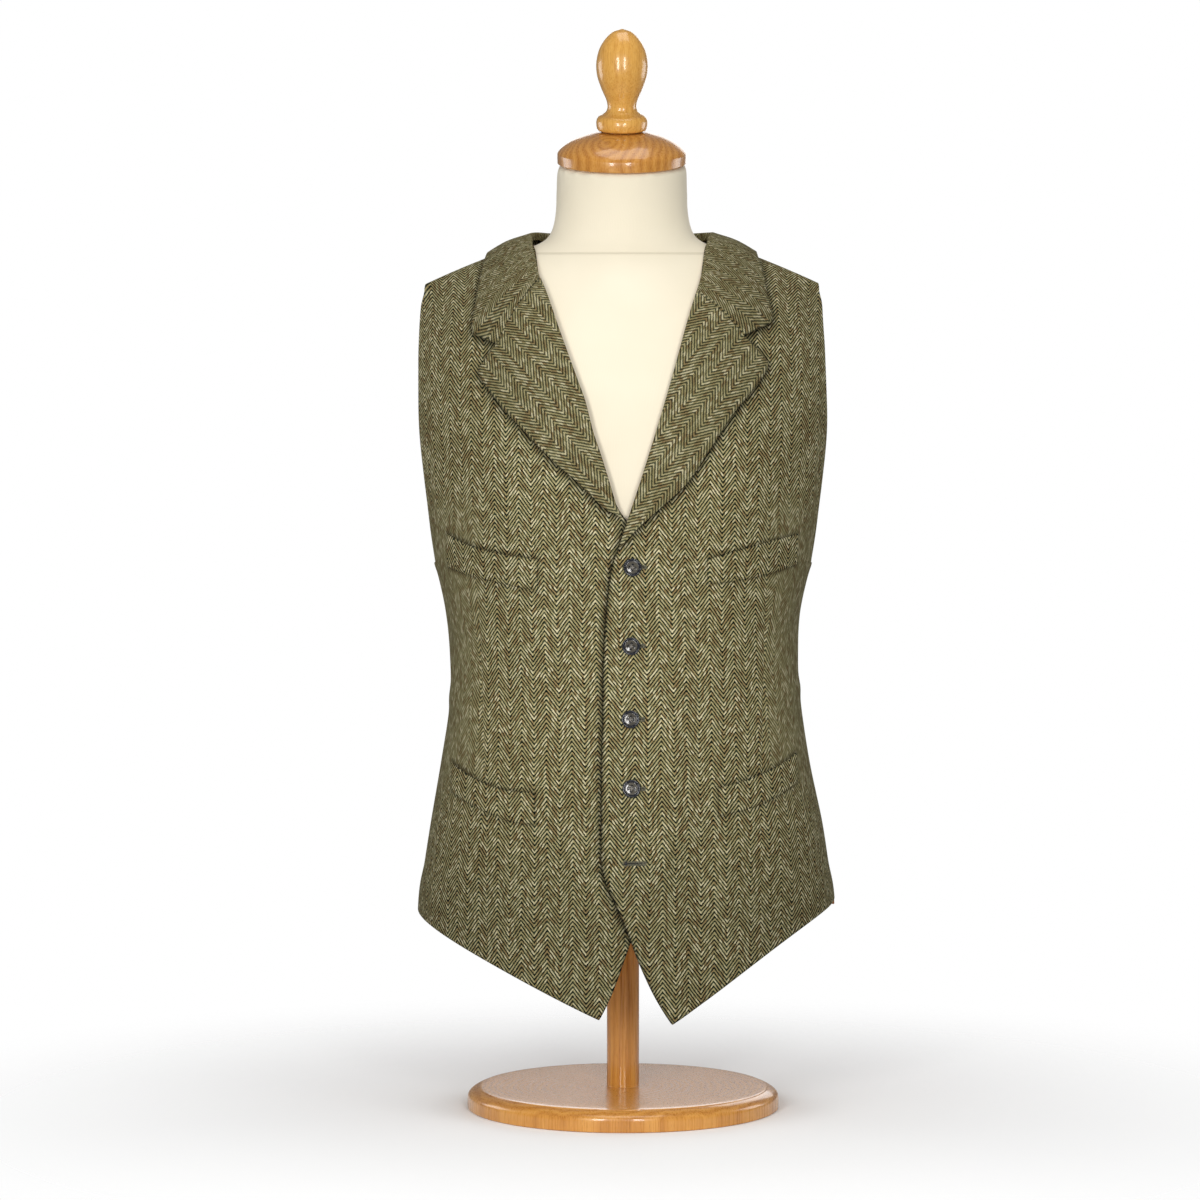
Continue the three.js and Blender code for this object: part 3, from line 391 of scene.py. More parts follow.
# Lengths over the cloth: across from the middle line and up from the first level
ARC_STEPS_UP, ARC_STEPS_AROUND = 6, 200
ARC_INDEX = np.linspace(0, len(FACES) - 1, (len(FACES) - 1) * ARC_STEPS_UP + 1)
ARC_AROUND = np.linspace(0, 1, ARC_STEPS_AROUND + 1)
ARC_GRID = body_point(ARC_INDEX[:, None] + 0 * ARC_AROUND, ARC_AROUND + 0 * ARC_INDEX[:, None], 1)
ACROSS_TABLE = np.zeros(ARC_GRID.shape[:2])
ACROSS_TABLE[:, 1:] = np.cumsum(np.linalg.norm(np.diff(ARC_GRID, axis=1), axis=-1), axis=1)
UP_TABLE = np.zeros(ARC_GRID.shape[:2])
UP_TABLE[1:] = np.cumsum(np.linalg.norm(np.diff(ARC_GRID, axis=0), axis=-1), axis=0)


def look_up(table, places):
    """Values of a table of lengths at places between its points."""
    row = np.clip(places[..., 0] * ARC_STEPS_UP, 0, table.shape[0] - 1.001)
    column = np.clip(np.abs(places[..., 1]) * ARC_STEPS_AROUND, 0, ARC_STEPS_AROUND - 0.001)
    r, c = row.astype(int), column.astype(int)
    fr, fc = row - r, column - c
    low = table[r, c] * (1 - fc) + table[r, c + 1] * fc
    high = table[r + 1, c] * (1 - fc) + table[r + 1, c + 1] * fc
    return low * (1 - fr) + high * fr


def cloth_lengths(places):
    """Length across the cloth from the middle line, and up it."""
    return np.sign(places[..., 1]) * look_up(ACROSS_TABLE, places), look_up(UP_TABLE, places)


def rows_along(rows, side, count):
    """Rows of inner and outer places, evenly spaced on smooth curves through a table's rows."""
    ends = body_point(rows[:, [0, 2]], rows[:, [1, 3]], side)
    spans = np.linalg.norm(np.diff(ends, axis=0), axis=-1).max(axis=1)
    travelled = np.concatenate([[0], np.cumsum(spans)])
    position = np.interp(np.linspace(0, travelled[-1], count), travelled, np.arange(len(rows)))
    start = np.minimum(position.astype(int), len(rows) - 2)
    limits = np.sort(np.stack([rows[start], rows[start + 1]]), axis=0)
    return np.clip(along_curve(rows, position), limits[0], limits[1])


def crease_lift(points, creases):
    """Soft ridges and troughs, each fading out to its ends."""
    lift = np.zeros(points.shape[:-1])
    flat = points[..., [0, 2]]
    for x0, z0, x1, z1, half_width, height in creases:
        start, end = np.array([x0, z0]), np.array([x1, z1])
        run = end - start
        t = ((flat - start) @ run) / (run @ run)
        bend = 0.12 * np.sin(3 * np.pi * t + x0)
        off = (flat - start) @ np.array([-run[1], run[0]]) / np.linalg.norm(run) / half_width - bend
        fade = smooth((t + 0.15) / 0.5) * smooth((1.15 - t) / 0.6)
        lift += CREASE_HEIGHT * height * fade * np.exp(-off * off)
    return lift


def overlap_lift(points):
    """How far the left front stands off the body, over the right front and the last button."""
    near_middle = smooth((OVERLAP_FADE_X - points[..., 0]) / OVERLAP_FADE_WIDTH)
    below_break = smooth((OVERLAP_FADE_TOP - points[..., 2]) / OVERLAP_FADE_HEIGHT)
    beyond = np.maximum(0, points[..., 0] - HIDDEN_BUTTON[0])
    away = np.hypot(beyond, points[..., 2] - HIDDEN_BUTTON[1])
    bulge = BULGE_LIFT * smooth(1 + BULGE_PLATEAU - away / BULGE_RADIUS)
    return (OVERLAP_LIFT * below_break + bulge) * near_middle


def front_lift(points, side):
    return overlap_lift(points) if side > 0 else np.zeros(points.shape[:-1])


# Meshes
def stand_in_scene(name, mesh):
    thing = bpy.data.objects.new(name, mesh)
    bpy.context.collection.objects.link(thing)
    return thing


def new_piece(name, points, faces, finishes, finish_of=None, corner_uv=None, values=None):
    mesh = bpy.data.meshes.new(name)
    faces = faces if isinstance(faces, list) else faces.tolist()
    mesh.from_pydata((np.asarray(points) * MM).tolist(), [], faces)
    for finish in finishes:
        mesh.materials.append(finish)
    if finish_of is not None:
        mesh.polygons.foreach_set("material_index", np.asarray(finish_of, np.int32))
    if corner_uv is not None:
        layer = mesh.uv_layers.new(name="cloth")
        layer.data.foreach_set("uv", np.asarray(corner_uv, np.float32).ravel())
    for key, numbers in (values or {}).items():
        attribute = mesh.attributes.new(key, "FLOAT", "POINT")
        attribute.data.foreach_set("value", np.asarray(numbers, np.float32))
    mesh.polygons.foreach_set("use_smooth", np.ones(len(mesh.polygons), bool))
    mesh.update()
    return stand_in_scene(name, mesh)


def grid_quads(numbers):
    return np.stack([numbers[:-1, :-1], numbers[:-1, 1:], numbers[1:, 1:], numbers[1:, :-1]],
                    -1).reshape(-1, 4)


def capped_rings(number, first, last):
    """Faces of a tube of rings, closed onto a middle point at each end."""
    wrapped = np.concatenate([number, number[:, :1]], axis=1)
    faces = grid_quads(wrapped).tolist()
    faces += [[first, b, a] for a, b in zip(wrapped[0, :-1], wrapped[0, 1:])]
    faces += [[last, a, b] for a, b in zip(wrapped[-1, :-1], wrapped[-1, 1:])]
    return faces


def grid_normals(points):
    return unit(np.cross(np.gradient(points, axis=1), np.gradient(points, axis=0)))


def line_shade(points, lines):
    """How dark the painted shadow makes the cloth beside lines given as x and height, with a
    half width and a depth.
    """
    flat = points[..., [0, 2]]
    shade = np.zeros(flat.shape[:-1])
    for line, half_width, depth in lines:
        away = np.full(shade.shape, np.inf)
        for start, end in zip(line[:-1], line[1:]):
            run = end - start
            t = np.clip(((flat - start) @ run) / (run @ run), 0, 1)
            away = np.minimum(away, np.linalg.norm(flat - start - t[..., None] * run, axis=-1))
        shade = np.maximum(shade, depth * np.exp(-(away / half_width) ** 2))
    return shade


def cloth(name, outside, inside, lengths, finishes, cut=None, lengths_beyond=None,
          free_ends=(True, True), marks=None):
    """A closed wall of cloth between two grids, with rounded edges and a map of cloth lengths."""
    rows, columns = outside.shape[:2]
    outer = np.arange(rows * columns).reshape(rows, columns)
    inner = outer + rows * columns
    loop = [(0, c) for c in range(columns)]
    loop += [(r, columns - 1) for r in range(1, rows)]
    loop += [(rows - 1, c) for c in range(columns - 2, -1, -1)]
    loop += [(r, 0) for r in range(rows - 2, 0, -1)]
    r, c = np.array(loop).T
    near_r, near_c = np.clip(r, 1, rows - 2), np.clip(c, 1, columns - 2)
    wall = np.linalg.norm(outside[r, c] - inside[r, c], axis=-1, keepdims=True)
    outward = unit(outside[r, c] - outside[near_r, near_c])
    rim_points = (outside[r, c] + inside[r, c]) / 2 + outward * wall * RIM_ROUNDING
    rim = np.arange(len(loop)) + 2 * rows * columns
    following = np.roll(np.arange(len(loop)), -1)
    a, b = outer[r, c], outer[r, c][following]
    d, e = inner[r, c], inner[r, c][following]
    m, n = rim, rim[following]
    faces = np.concatenate([
        grid_quads(outer), grid_quads(inner)[:, ::-1],
        np.stack([b, a, m, n], -1), np.stack([n, m, d, e], -1)])
    quads = (rows - 1) * (columns - 1)
    finish_of = np.zeros(len(faces), int)
    finish_of[quads:2 * quads] = len(finishes) - 1
    points = np.concatenate([outside.reshape(-1, 3), inside.reshape(-1, 3), rim_points])
    number_lengths = np.concatenate([lengths.reshape(-1, 2), lengths.reshape(-1, 2), lengths[r, c]])
    corner = number_lengths[faces]
    if cut is not None:
        beyond = np.concatenate([lengths_beyond.reshape(-1, 2), lengths_beyond.reshape(-1, 2),
                                 lengths_beyond[r, c]])
        column_of = np.tile(np.arange(columns - 1), rows - 1)
        rim_column = np.concatenate([np.minimum(c, c[following])] * 2)
        is_beyond = np.concatenate([column_of, column_of, rim_column]) >= cut
        corner[is_beyond] = beyond[faces[is_beyond]]
    first = points[faces[quads // 2]]
    faces_out = np.cross(first[1] - first[0], first[2] - first[0]) @ (
        outside.reshape(-1, 3) - inside.reshape(-1, 3))[faces[quads // 2, 0]]
    if faces_out < 0:
        faces, corner = faces[:, ::-1], corner[:, ::-1]
    # Painted shade on the rims: the edge value darkens the tweed there, less where an edge is sewn
    free = np.ones(len(loop))
    free[(r == 0) & (not free_ends[0])] = SEWN_EDGE
    free[(r == rows - 1) & (not free_ends[1])] = SEWN_EDGE
    values = {"edge": np.zeros(len(points))}
    values["edge"][outer[r, c]] = 0.5 * free
    values["edge"][rim] = free
    for key, numbers in (marks or {}).items():
        values[key] = np.concatenate([numbers.ravel(), numbers.ravel(), numbers[r, c]])
    return new_piece(name, points, faces, finishes, finish_of, corner, values)


# Finishes
class Finish:
    """The shader nodes of one material."""

    def __init__(self, name):
        self.material = bpy.data.materials.new(name)
        self.material.use_nodes = True
        self.tree = self.material.node_tree
        self.tree.nodes.clear()
        output = self.tree.nodes.new("ShaderNodeOutputMaterial")
        self.surface = self.tree.nodes.new("ShaderNodeBsdfPrincipled")
        self.join(self.surface.outputs[0], output.inputs[0])

    def join(self, output, socket):
        self.tree.links.new(output, socket)

    def feed(self, socket, value):
        if isinstance(value, bpy.types.NodeSocket):
            self.join(value, socket)
        else:
            socket.default_value = value

    def calc(self, operation, *values):
        node = self.tree.nodes.new("ShaderNodeMath")
        node.operation = operation
        for socket, value in zip(node.inputs, values):
            self.feed(socket, value)
        return node.outputs[0]

    def plus(self, base, value, times):
        """base + value * times."""
        return self.calc("ADD", base, self.calc("MULTIPLY", value, times))

    def around_half(self, value):
        return self.calc("SUBTRACT", value, 0.5)

    def length(self, x, y):
        squares = self.calc("ADD", self.calc("MULTIPLY", x, x), self.calc("MULTIPLY", y, y))
        return self.calc("SQRT", squares)

    def darkened(self, colour, shade):
        return self.blend(1.0, colour, self.vector(shade, shade, shade), "MULTIPLY")

    def blend(self, factor, first, second, way="MIX"):
        node = self.tree.nodes.new("ShaderNodeMix")
        node.data_type = "RGBA"
        node.blend_type = way
        self.feed(node.inputs["Factor"], factor)
        for socket, value in zip((node.inputs[6], node.inputs[7]), (first, second)):
            self.feed(socket, value if not isinstance(value, tuple) else (*value, 1))
        return node.outputs[2]

    def ramp(self, factor, stops):
        node = self.tree.nodes.new("ShaderNodeValToRGB")
        while len(node.color_ramp.elements) < len(stops):
            node.color_ramp.elements.new(0.5)
        for element, (position, colour) in zip(node.color_ramp.elements, stops):
            element.position = position
            element.color = (*colour, 1)
        self.feed(node.inputs[0], factor)
        return node.outputs[0]

    def band(self, value, start, end, low=0.0, high=1.0):
        node = self.tree.nodes.new("ShaderNodeMapRange")
        node.interpolation_type = "SMOOTHSTEP"
        for socket, number in zip(node.inputs, (value, start, end, low, high)):
            self.feed(socket, number)
        return node.outputs[0]

    def noise(self, vector, scale, detail=2.0, roughness=0.5):
        node = self.tree.nodes.new("ShaderNodeTexNoise")
        self.feed(node.inputs["Vector"], vector)
        for key, value in (("Scale", scale), ("Detail", detail), ("Roughness", roughness)):
            node.inputs[key].default_value = value
        return node.outputs[0]

    def chance(self, vector):
        node = self.tree.nodes.new("ShaderNodeTexWhiteNoise")
        node.noise_dimensions = "2D"
        self.join(vector, node.inputs["Vector"])
        return node.outputs["Value"]

    def vector(self, x=0.0, y=0.0, z=0.0):
        node = self.tree.nodes.new("ShaderNodeCombineXYZ")
        for socket, value in zip(node.inputs, (x, y, z)):
            self.feed(socket, value)
        return node.outputs[0]

    def place(self, size=(1, 1, 1), turn=(0, 0, 0), shift=(0, 0, 0)):
        """Object coordinates, moved, turned and stretched for a pattern."""
        where = self.tree.nodes.new("ShaderNodeTexCoord")
        node = self.tree.nodes.new("ShaderNodeMapping")
        node.inputs["Location"].default_value = shift
        node.inputs["Rotation"].default_value = turn
        node.inputs["Scale"].default_value = size
        self.join(where.outputs["Object"], node.inputs[0])
        return node.outputs[0]

    def split(self, vector):
        node = self.tree.nodes.new("ShaderNodeSeparateXYZ")
        self.join(vector, node.inputs[0])
        return node.outputs

    def cloth_map(self):
        node = self.tree.nodes.new("ShaderNodeUVMap")
        node.uv_map = "cloth"
        return node.outputs[0]

    def value_of(self, name):
        node = self.tree.nodes.new("ShaderNodeAttribute")
        node.attribute_name = name
        return node.outputs["Fac"]

    def relief(self, height, distance, strength=1.0):
        node = self.tree.nodes.new("ShaderNodeBump")
        node.inputs["Strength"].default_value = strength
        node.inputs["Distance"].default_value = distance
        self.join(height, node.inputs["Height"])
        self.join(node.outputs[0], self.surface.inputs["Normal"])

    def colour(self, value):
        self.feed(self.surface.inputs["Base Color"], value)

    def set(self, **values):
        for key, value in values.items():
            self.surface.inputs[key.replace("_", " ")].default_value = value


def herringbone_tweed():
    """Pointed 2/2 herringbone of cream, tan and rust yarns over dark green, heathered."""
    f = Finish("herringbone_tweed")
    across, up, _ = f.split(f.cloth_map())
    cloth_map = f.vector(across, up)
    across = f.plus(across, f.around_half(f.noise(cloth_map, 0.035, 2)), WARP_WANDER)
    up = f.plus(up, f.around_half(f.noise(cloth_map, 0.5, 1)), WEFT_JITTER)
    slope = f.calc("PINGPONG", across, COLUMN_WIDTH)
    end = f.calc("FLOOR", f.calc("DIVIDE", slope, END_WIDTH))
    end_at = f.calc("MULTIPLY", f.calc("ADD", end, 0.5), END_WIDTH * TWILL_SLOPE)
    stepped = f.calc("DIVIDE", f.calc("ADD", up, end_at), TWILL_REPEAT)
    line = f.calc("MULTIPLY", f.calc("PINGPONG", stepped, 0.5), 2.0)
    ragged = f.around_half(f.noise(cloth_map, 0.6, 1))
    light = f.band(f.plus(line, ragged, 0.30), 0.55, 0.37)
    calm = f.calc("MULTIPLY", f.value_of("calm"), 0.75)
    uneven_light = f.calc("MULTIPLY", light, f.calc("SUBTRACT", 1.0, calm))
    light = f.plus(uneven_light, calm, EVEN_LIGHT)
    yarn_round = f.calc("SINE", f.calc("MULTIPLY", f.calc("DIVIDE", slope, END_WIDTH), math.pi))
    yarn_round = f.calc("ABSOLUTE", yarn_round)
    ends_together = f.calc("FLOOR", f.calc("DIVIDE", across, ENDS_TOGETHER * END_WIDTH))
    pale_float = f.chance(f.vector(ends_together, f.calc("FLOOR", f.calc("ADD", stepped, 0.5))))
    dark_float = f.chance(f.vector(ends_together, f.calc("FLOOR", stepped), 5.0))
    pale = f.ramp(pale_float, [
        (0.05, (0.285, 0.205, 0.090)), (0.25, (0.335, 0.278, 0.126)), (0.50, (0.385, 0.335, 0.160)),
        (0.75, (0.475, 0.415, 0.222)), (0.97, (0.680, 0.610, 0.375))])
    dark = f.ramp(dark_float, [
        (0.10, (0.007, 0.010, 0.006)), (0.50, (0.013, 0.020, 0.011)), (0.78, (0.026, 0.038, 0.020)),
        (0.90, (0.042, 0.054, 0.027)), (0.98, (0.052, 0.040, 0.019))])
    woven = f.blend(light, dark, pale)
    # Random tone of the cloth, which the painted shade below then darkens
    shade = f.plus(0.91, f.noise(cloth_map, 0.012, 3), 0.18)
    x, _, z = f.split(f.place())
    # Painted shade: darker towards the sides and towards the hem, where less light falls
    side_painted_shade = f.band(f.calc("ABSOLUTE", x), 0.05, 0.15, 1.0, 0.86)
    hem_painted_shade = f.band(z, 0.12, 0.38, 0.70, 1.0)
    # Painted shade on the rims of the cloth
    rim_painted_shade = f.band(f.value_of("edge"), 0.0, 1.0, 1.0, 0.38)
    # Painted shadow beside edges on the fronts, and painted shade over lapels and collar
    painted_shade_marked = f.calc("SUBTRACT", 1.0, f.value_of("shaded"))
    for darker in (hem_painted_shade, side_painted_shade, rim_painted_shade, painted_shade_marked):
        shade = f.calc("MULTIPLY", shade, darker)
    # Painted shade in the grooves between the yarn ends, lighter on their rounded tops
    f.colour(f.darkened(f.darkened(woven, shade), f.plus(0.80, yarn_round, 0.28)))
    height = f.plus(f.calc("MULTIPLY", light, 0.7), yarn_round, 0.25)
    f.relief(f.plus(height, f.noise(cloth_map, 2.0, 1), 0.4), 0.00018, 0.6)
    f.set(Roughness=0.92, Sheen_Weight=0.03, Sheen_Roughness=0.5, Specular_IOR_Level=0.06)
    f.surface.inputs["Sheen Tint"].default_value = (0.9, 0.82, 0.6, 1)
    return f.material


def copper_satin():
    """Fine satin of the backs and the lining, with floats across the cloth."""
    f = Finish("copper_satin")
    across, up, _ = f.split(f.cloth_map())
    cloth_map = f.vector(across, up)
    floats = f.noise(f.vector(f.calc("MULTIPLY", across, 0.5), f.calc("MULTIPLY", up, 5.0)), 1.0, 3, 0.6)
    cloud = f.noise(cloth_map, 0.02, 3)
    tone = f.plus(f.calc("MULTIPLY", floats, 0.85), cloud, 0.15)
    f.colour(f.ramp(tone, [
        (0.30, (0.235, 0.072, 0.014)), (0.50, (0.315, 0.108, 0.022)), (0.70, (0.40, 0.155, 0.036))]))
    f.feed(f.surface.inputs["Roughness"], f.band(floats, 0.3, 0.7, 0.36, 0.50))
    steps = f.calc("ADD", f.calc("DIVIDE", across, 0.9), f.calc("DIVIDE", up, 0.35))
    f.relief(f.calc("ADD", f.calc("PINGPONG", steps, 0.5), floats), 0.00005, 0.5)
    f.set(Sheen_Weight=0.25, Sheen_Roughness=0.4, Specular_IOR_Level=0.45)
    f.surface.inputs["Sheen Tint"].default_value = (1.0, 0.72, 0.45, 1)
    return f.material


def form_jersey():
    """Cream stockinette: columns of fine stitches, with the seam round the foot of the neck."""
    f = Finish("form_jersey")
    x, y, z = f.split(f.place((1000, 1000, 1000)))
    columns = f.calc("PINGPONG", f.calc("DIVIDE", f.plus(x, y, 0.6), KNIT_COLUMN), 0.5)
    courses = f.calc("PINGPONG", f.calc("ADD", f.calc("DIVIDE", z, KNIT_COURSE), columns), 0.5)
    knit = f.plus(courses, columns, 1.2)
    above_seam = f.calc("SUBTRACT", z, NECK_SEAM_HEIGHT)
    seam_at = f.plus(above_seam, f.calc("SUBTRACT", y, NECK_SEAM_Y), NECK_SEAM_SLOPE)
    seam = f.band(f.calc("ABSOLUTE", seam_at), 0.35, 1.5, 1.0, 0.0)
    cloud = f.noise(f.place(), 9.0, 3)
    ground = f.ramp(cloud, [(0.3, (0.80, 0.725, 0.56)), (0.7, (0.86, 0.785, 0.62))])
    f.colour(f.blend(f.calc("MULTIPLY", seam, 0.32), ground, (0.42, 0.35, 0.24)))
    f.relief(f.calc("SUBTRACT", f.calc("MULTIPLY", knit, 0.12), seam), 0.0006, 0.6)
    f.set(Roughness=0.85, Sheen_Weight=0.15, Sheen_Roughness=0.5, Specular_IOR_Level=0.25)
    return f.material


RINGS_PER_METRE = 330.0


def honey_wood(name, turn, figure, stops):
    """Turned beech under varnish: growth rings about the turning axis and short dark pores."""
    f = Finish(name)
    rings_at = f.place((1, 1, 0.16), turn, (0.013, 0.006, 0))
    x, y, _ = f.split(rings_at)
    bend = f.noise(rings_at, 22.0, 3, 0.55)
    wavy = f.plus(f.calc("MULTIPLY", f.length(x, y), RINGS_PER_METRE), bend, 7.0)
    rings = f.calc("PINGPONG", wavy, 1.0)
    streaks = f.noise(f.place((900, 900, 26), turn), 1.0, 3, 0.6)
    pores = f.band(f.noise(f.place((1500, 1500, 120), turn), 1.0, 1), 0.62, 0.72)
    wood = f.ramp(f.plus(f.calc("MULTIPLY", rings, figure), streaks, 1 - figure), stops)
    f.colour(f.blend(f.calc("MULTIPLY", pores, 0.35), wood, (0.30, 0.10, 0.015)))
    f.feed(f.surface.inputs["Roughness"], f.band(streaks, 0.3, 0.7, 0.24, 0.36))
    f.relief(f.plus(streaks, pores, -0.6), 0.00006, 0.4)
    f.set(Coat_Weight=0.45, Coat_Roughness=0.07, Specular_IOR_Level=0.4)
    return f.material


def dark_horn():
    """Polished grey-black horn, paler and cloudy in the dish of the button."""
    f = Finish("dark_horn")
    cloud = f.noise(f.place(), 260.0, 4, 0.6)
    streak = f.noise(f.place((300, 300, 900)), 1.0, 2)
    dark = f.ramp(cloud, [(0.35, (0.008, 0.009, 0.013)), (0.65, (0.020, 0.022, 0.030))])
    paler = f.ramp(f.plus(f.calc("MULTIPLY", cloud, 0.6), streak, 0.4), [
        (0.35, (0.048, 0.043, 0.034)), (0.65, (0.100, 0.090, 0.070))])
    f.colour(f.blend(f.value_of("dish"), dark, paler))
    f.relief(cloud, 0.00001, 0.1)
    f.set(Roughness=0.13, Coat_Weight=0.5, Coat_Roughness=0.05, Specular_IOR_Level=0.35)
    return f.material


def sewing_thread(name, dark, light):
    """Twisted thread."""
    f = Finish(name)
    where = f.place((1000, 1000, 1000))
    x, _, z = f.split(where)
    twist = f.calc("PINGPONG", f.calc("MULTIPLY", f.calc("ADD", x, z), 2.2), 0.5)
    fray = f.noise(where, 2.5, 2)
    tone = f.plus(twist, fray, 0.5)
    f.colour(f.ramp(tone, [(0.1, dark), (0.8, light)]))
    f.relief(tone, 0.00008, 0.6)
    f.set(Roughness=0.7, Sheen_Weight=0.2, Sheen_Roughness=0.5)
    return f.material


# Tones of the woods, from the dark of a ring to its light
KNOB_STOPS = [(0.20, (0.52, 0.235, 0.038)), (0.5, (0.69, 0.355, 0.072)), (0.8, (0.80, 0.455, 0.112))]
CAP_STOPS = [(0.20, (0.37, 0.135, 0.018)), (0.5, (0.54, 0.235, 0.042)), (0.8, (0.66, 0.325, 0.072))]

tweed = herringbone_tweed()
satin = copper_satin()
jersey = form_jersey()
knob_wood = honey_wood("honey_wood_knob", (-NECK_LEAN, 0, 0), 0.14, KNOB_STOPS)
cap_wood = honey_wood("honey_wood_cap", (-NECK_LEAN, 0, 0), 0.34, CAP_STOPS)
stand_wood = honey_wood("honey_wood_stand", (0, 0, 0), 0.30, CAP_STOPS)
horn = dark_horn()
button_thread = sewing_thread("button_thread", (0.10, 0.095, 0.085), (0.36, 0.33, 0.29))
buttonhole_thread = sewing_thread("buttonhole_thread", (0.030, 0.032, 0.018), (0.13, 0.12, 0.07))
slit_shadow = sewing_thread("slit_shadow", (0.006, 0.006, 0.005), (0.014, 0.013, 0.010))


# Fronts and backs: rows and columns of their grids, the height where the roll of each lapel
# starts, and the share of a front's columns before its dart
FRONT_GRID = (244, 168)
BACK_GRID = (136, 96)
LAPEL_FOOT = {1: 485, -1: 507}
COLUMNS_BEFORE_DART = 0.52


def dart_column(rows, side):
    """Where along each row the line of the dart crosses it."""
    t = np.linspace(0, 1, 241)
    inner, outer = rows[:, None, :2], rows[:, None, 2:4]
    places = inner + (outer - inner) * t[None, :, None]
    points = body_point(places[..., 0], places[..., 1], side)
    top_x, bottom_x = DARTS[side]
    height = np.clip(points[..., 2], DART_BOTTOM, DART_TOP)
    line = bottom_x + (top_x - bottom_x) * (height - DART_BOTTOM) / (DART_TOP - DART_BOTTOM)
    crossing = t[np.abs(points[..., 0] - line).argmin(axis=1)]
    padded = np.pad(crossing, DART_EVENING // 2, mode="edge")
    return np.convolve(padded, np.ones(DART_EVENING) / DART_EVENING, mode="valid")


def lines_on_front(side):
    """Edges that lie on a front, with painted shadow beside them: lapel, collar, welts and, on
    the right one, the left front.
    """
    left = side > 0
    lapel_rows = np.array(LAPEL_LEFT_ROWS if left else LAPEL_RIGHT_ROWS, float)
    collar_rows = np.array(COLLAR_LEFT_ROWS if left else COLLAR_RIGHT_ROWS, float)
    lap_edge = np.array(FRONT_LEFT_ROWS, float)[:, :2]
    lines = [
        (lapel_rows[:, 2:4], *LAPEL_SHADE), (collar_rows[:, 3:5], *COLLAR_SHADE),
        (lap_edge, *(LAP_OWN_EDGE_SHADE if left else LAP_SHADE))]
    for node, stations in WELTS.items():
        if node.endswith("left") == left:
            stations = np.array(stations, float)
            inner_end = np.array([stations[0, [0, 1]], stations[0, [0, 2]]])
            lines.append((stations[:, [0, 1]], *WELT_TOP_SHADE))
            lines.append((stations[:, [0, 2]], *WELT_FOOT_SHADE))
            lines.append((inner_end, *WELT_END_SHADE))
    return lines


def front(name, table, side, weave_peak):
    """A front with its dart, from its free edge to the side seam, armhole and shoulder."""
    table = np.array(table, float)
    inner = table[:, :2].copy()
    above_break = smooth((inner[:, 1] - LAPEL_FOOT[side]) / 30)
    inner[:, 0] += side * TUCK * above_break
    rows = np.concatenate([
        place_at_x(inner[:, 0], inner[:, 1], side), place_around(table[:, 2], table[:, 3]),
        table[:, 4:5]], axis=1)
    neck_x, shoulder_around = SHOULDER_TOP[side]
    for index in (RIDGE - 0.35, RIDGE, SHOULDER_SEAM):
        around = float(around_at_x(np.array(index), neck_x + side * TUCK, side))
        rows = np.vstack([rows, [index, around, index, shoulder_around, 0]])
    count, columns = FRONT_GRID
    rows = rows_along(rows, side, count)
    cut = round(columns * COLUMNS_BEFORE_DART)
    crossing = dart_column(rows, side)[:, None]
    t = np.concatenate([
        np.linspace(0, 1, cut, endpoint=False) * crossing,
        crossing + np.linspace(0, 1, columns - cut) * (1 - crossing)], axis=1)[..., None]
    places = rows[:, None, :2] * (1 - t) + rows[:, None, 2:4] * t
    level_step = LEVELS[1, 0] - LEVELS[0, 0]
    places[..., 0] += rows[:, None, 4] * 4 * t[..., 0] * (1 - t[..., 0]) / level_step
    bare = body_point(places[..., 0], places[..., 1], side)
    edge_calm = smooth(np.minimum(t[..., 0], 1 - t[..., 0]) / 0.08)
    lift = front_lift(bare, side) + crease_lift(bare, CREASES["front", side]) * edge_calm
    in_dart = smooth((bare[..., 2] - DART_BOTTOM) / 14) * smooth((DART_TOP - bare[..., 2]) / 20)
    groove = np.exp(-((np.arange(columns) - cut) / 0.8) ** 2)
    lift -= DART_DEPTH * in_dart * groove
    outside = raised(places, side, lift)
    inside = raised(places, side, lift - PANEL_WALL)
    across, up = cloth_lengths(places)
    across = across - weave_peak
    taken_in = np.interp(bare[..., 2], DART_HEIGHTS, DART_INTAKE)
    beyond_dart = smooth((np.abs(bare[..., 0]) - SIDE_CALM_X) / SIDE_CALM_WIDTH)
    above_hem = smooth((bare[..., 2] - WAIST_CALM_BOTTOM) / 60)
    at_waist = above_hem * smooth((WAIST_CALM_TOP - bare[..., 2]) / 55)
    # Painted shadow: the cloth darkens beside the edges that lie on this front
    marks = {"shaded": line_shade(outside, lines_on_front(side)), "calm": beyond_dart * at_waist}
    return cloth(name, outside, inside, np.stack([across, up], -1), [tweed, satin],
                 cut, np.stack([across + taken_in, up], -1), marks=marks)


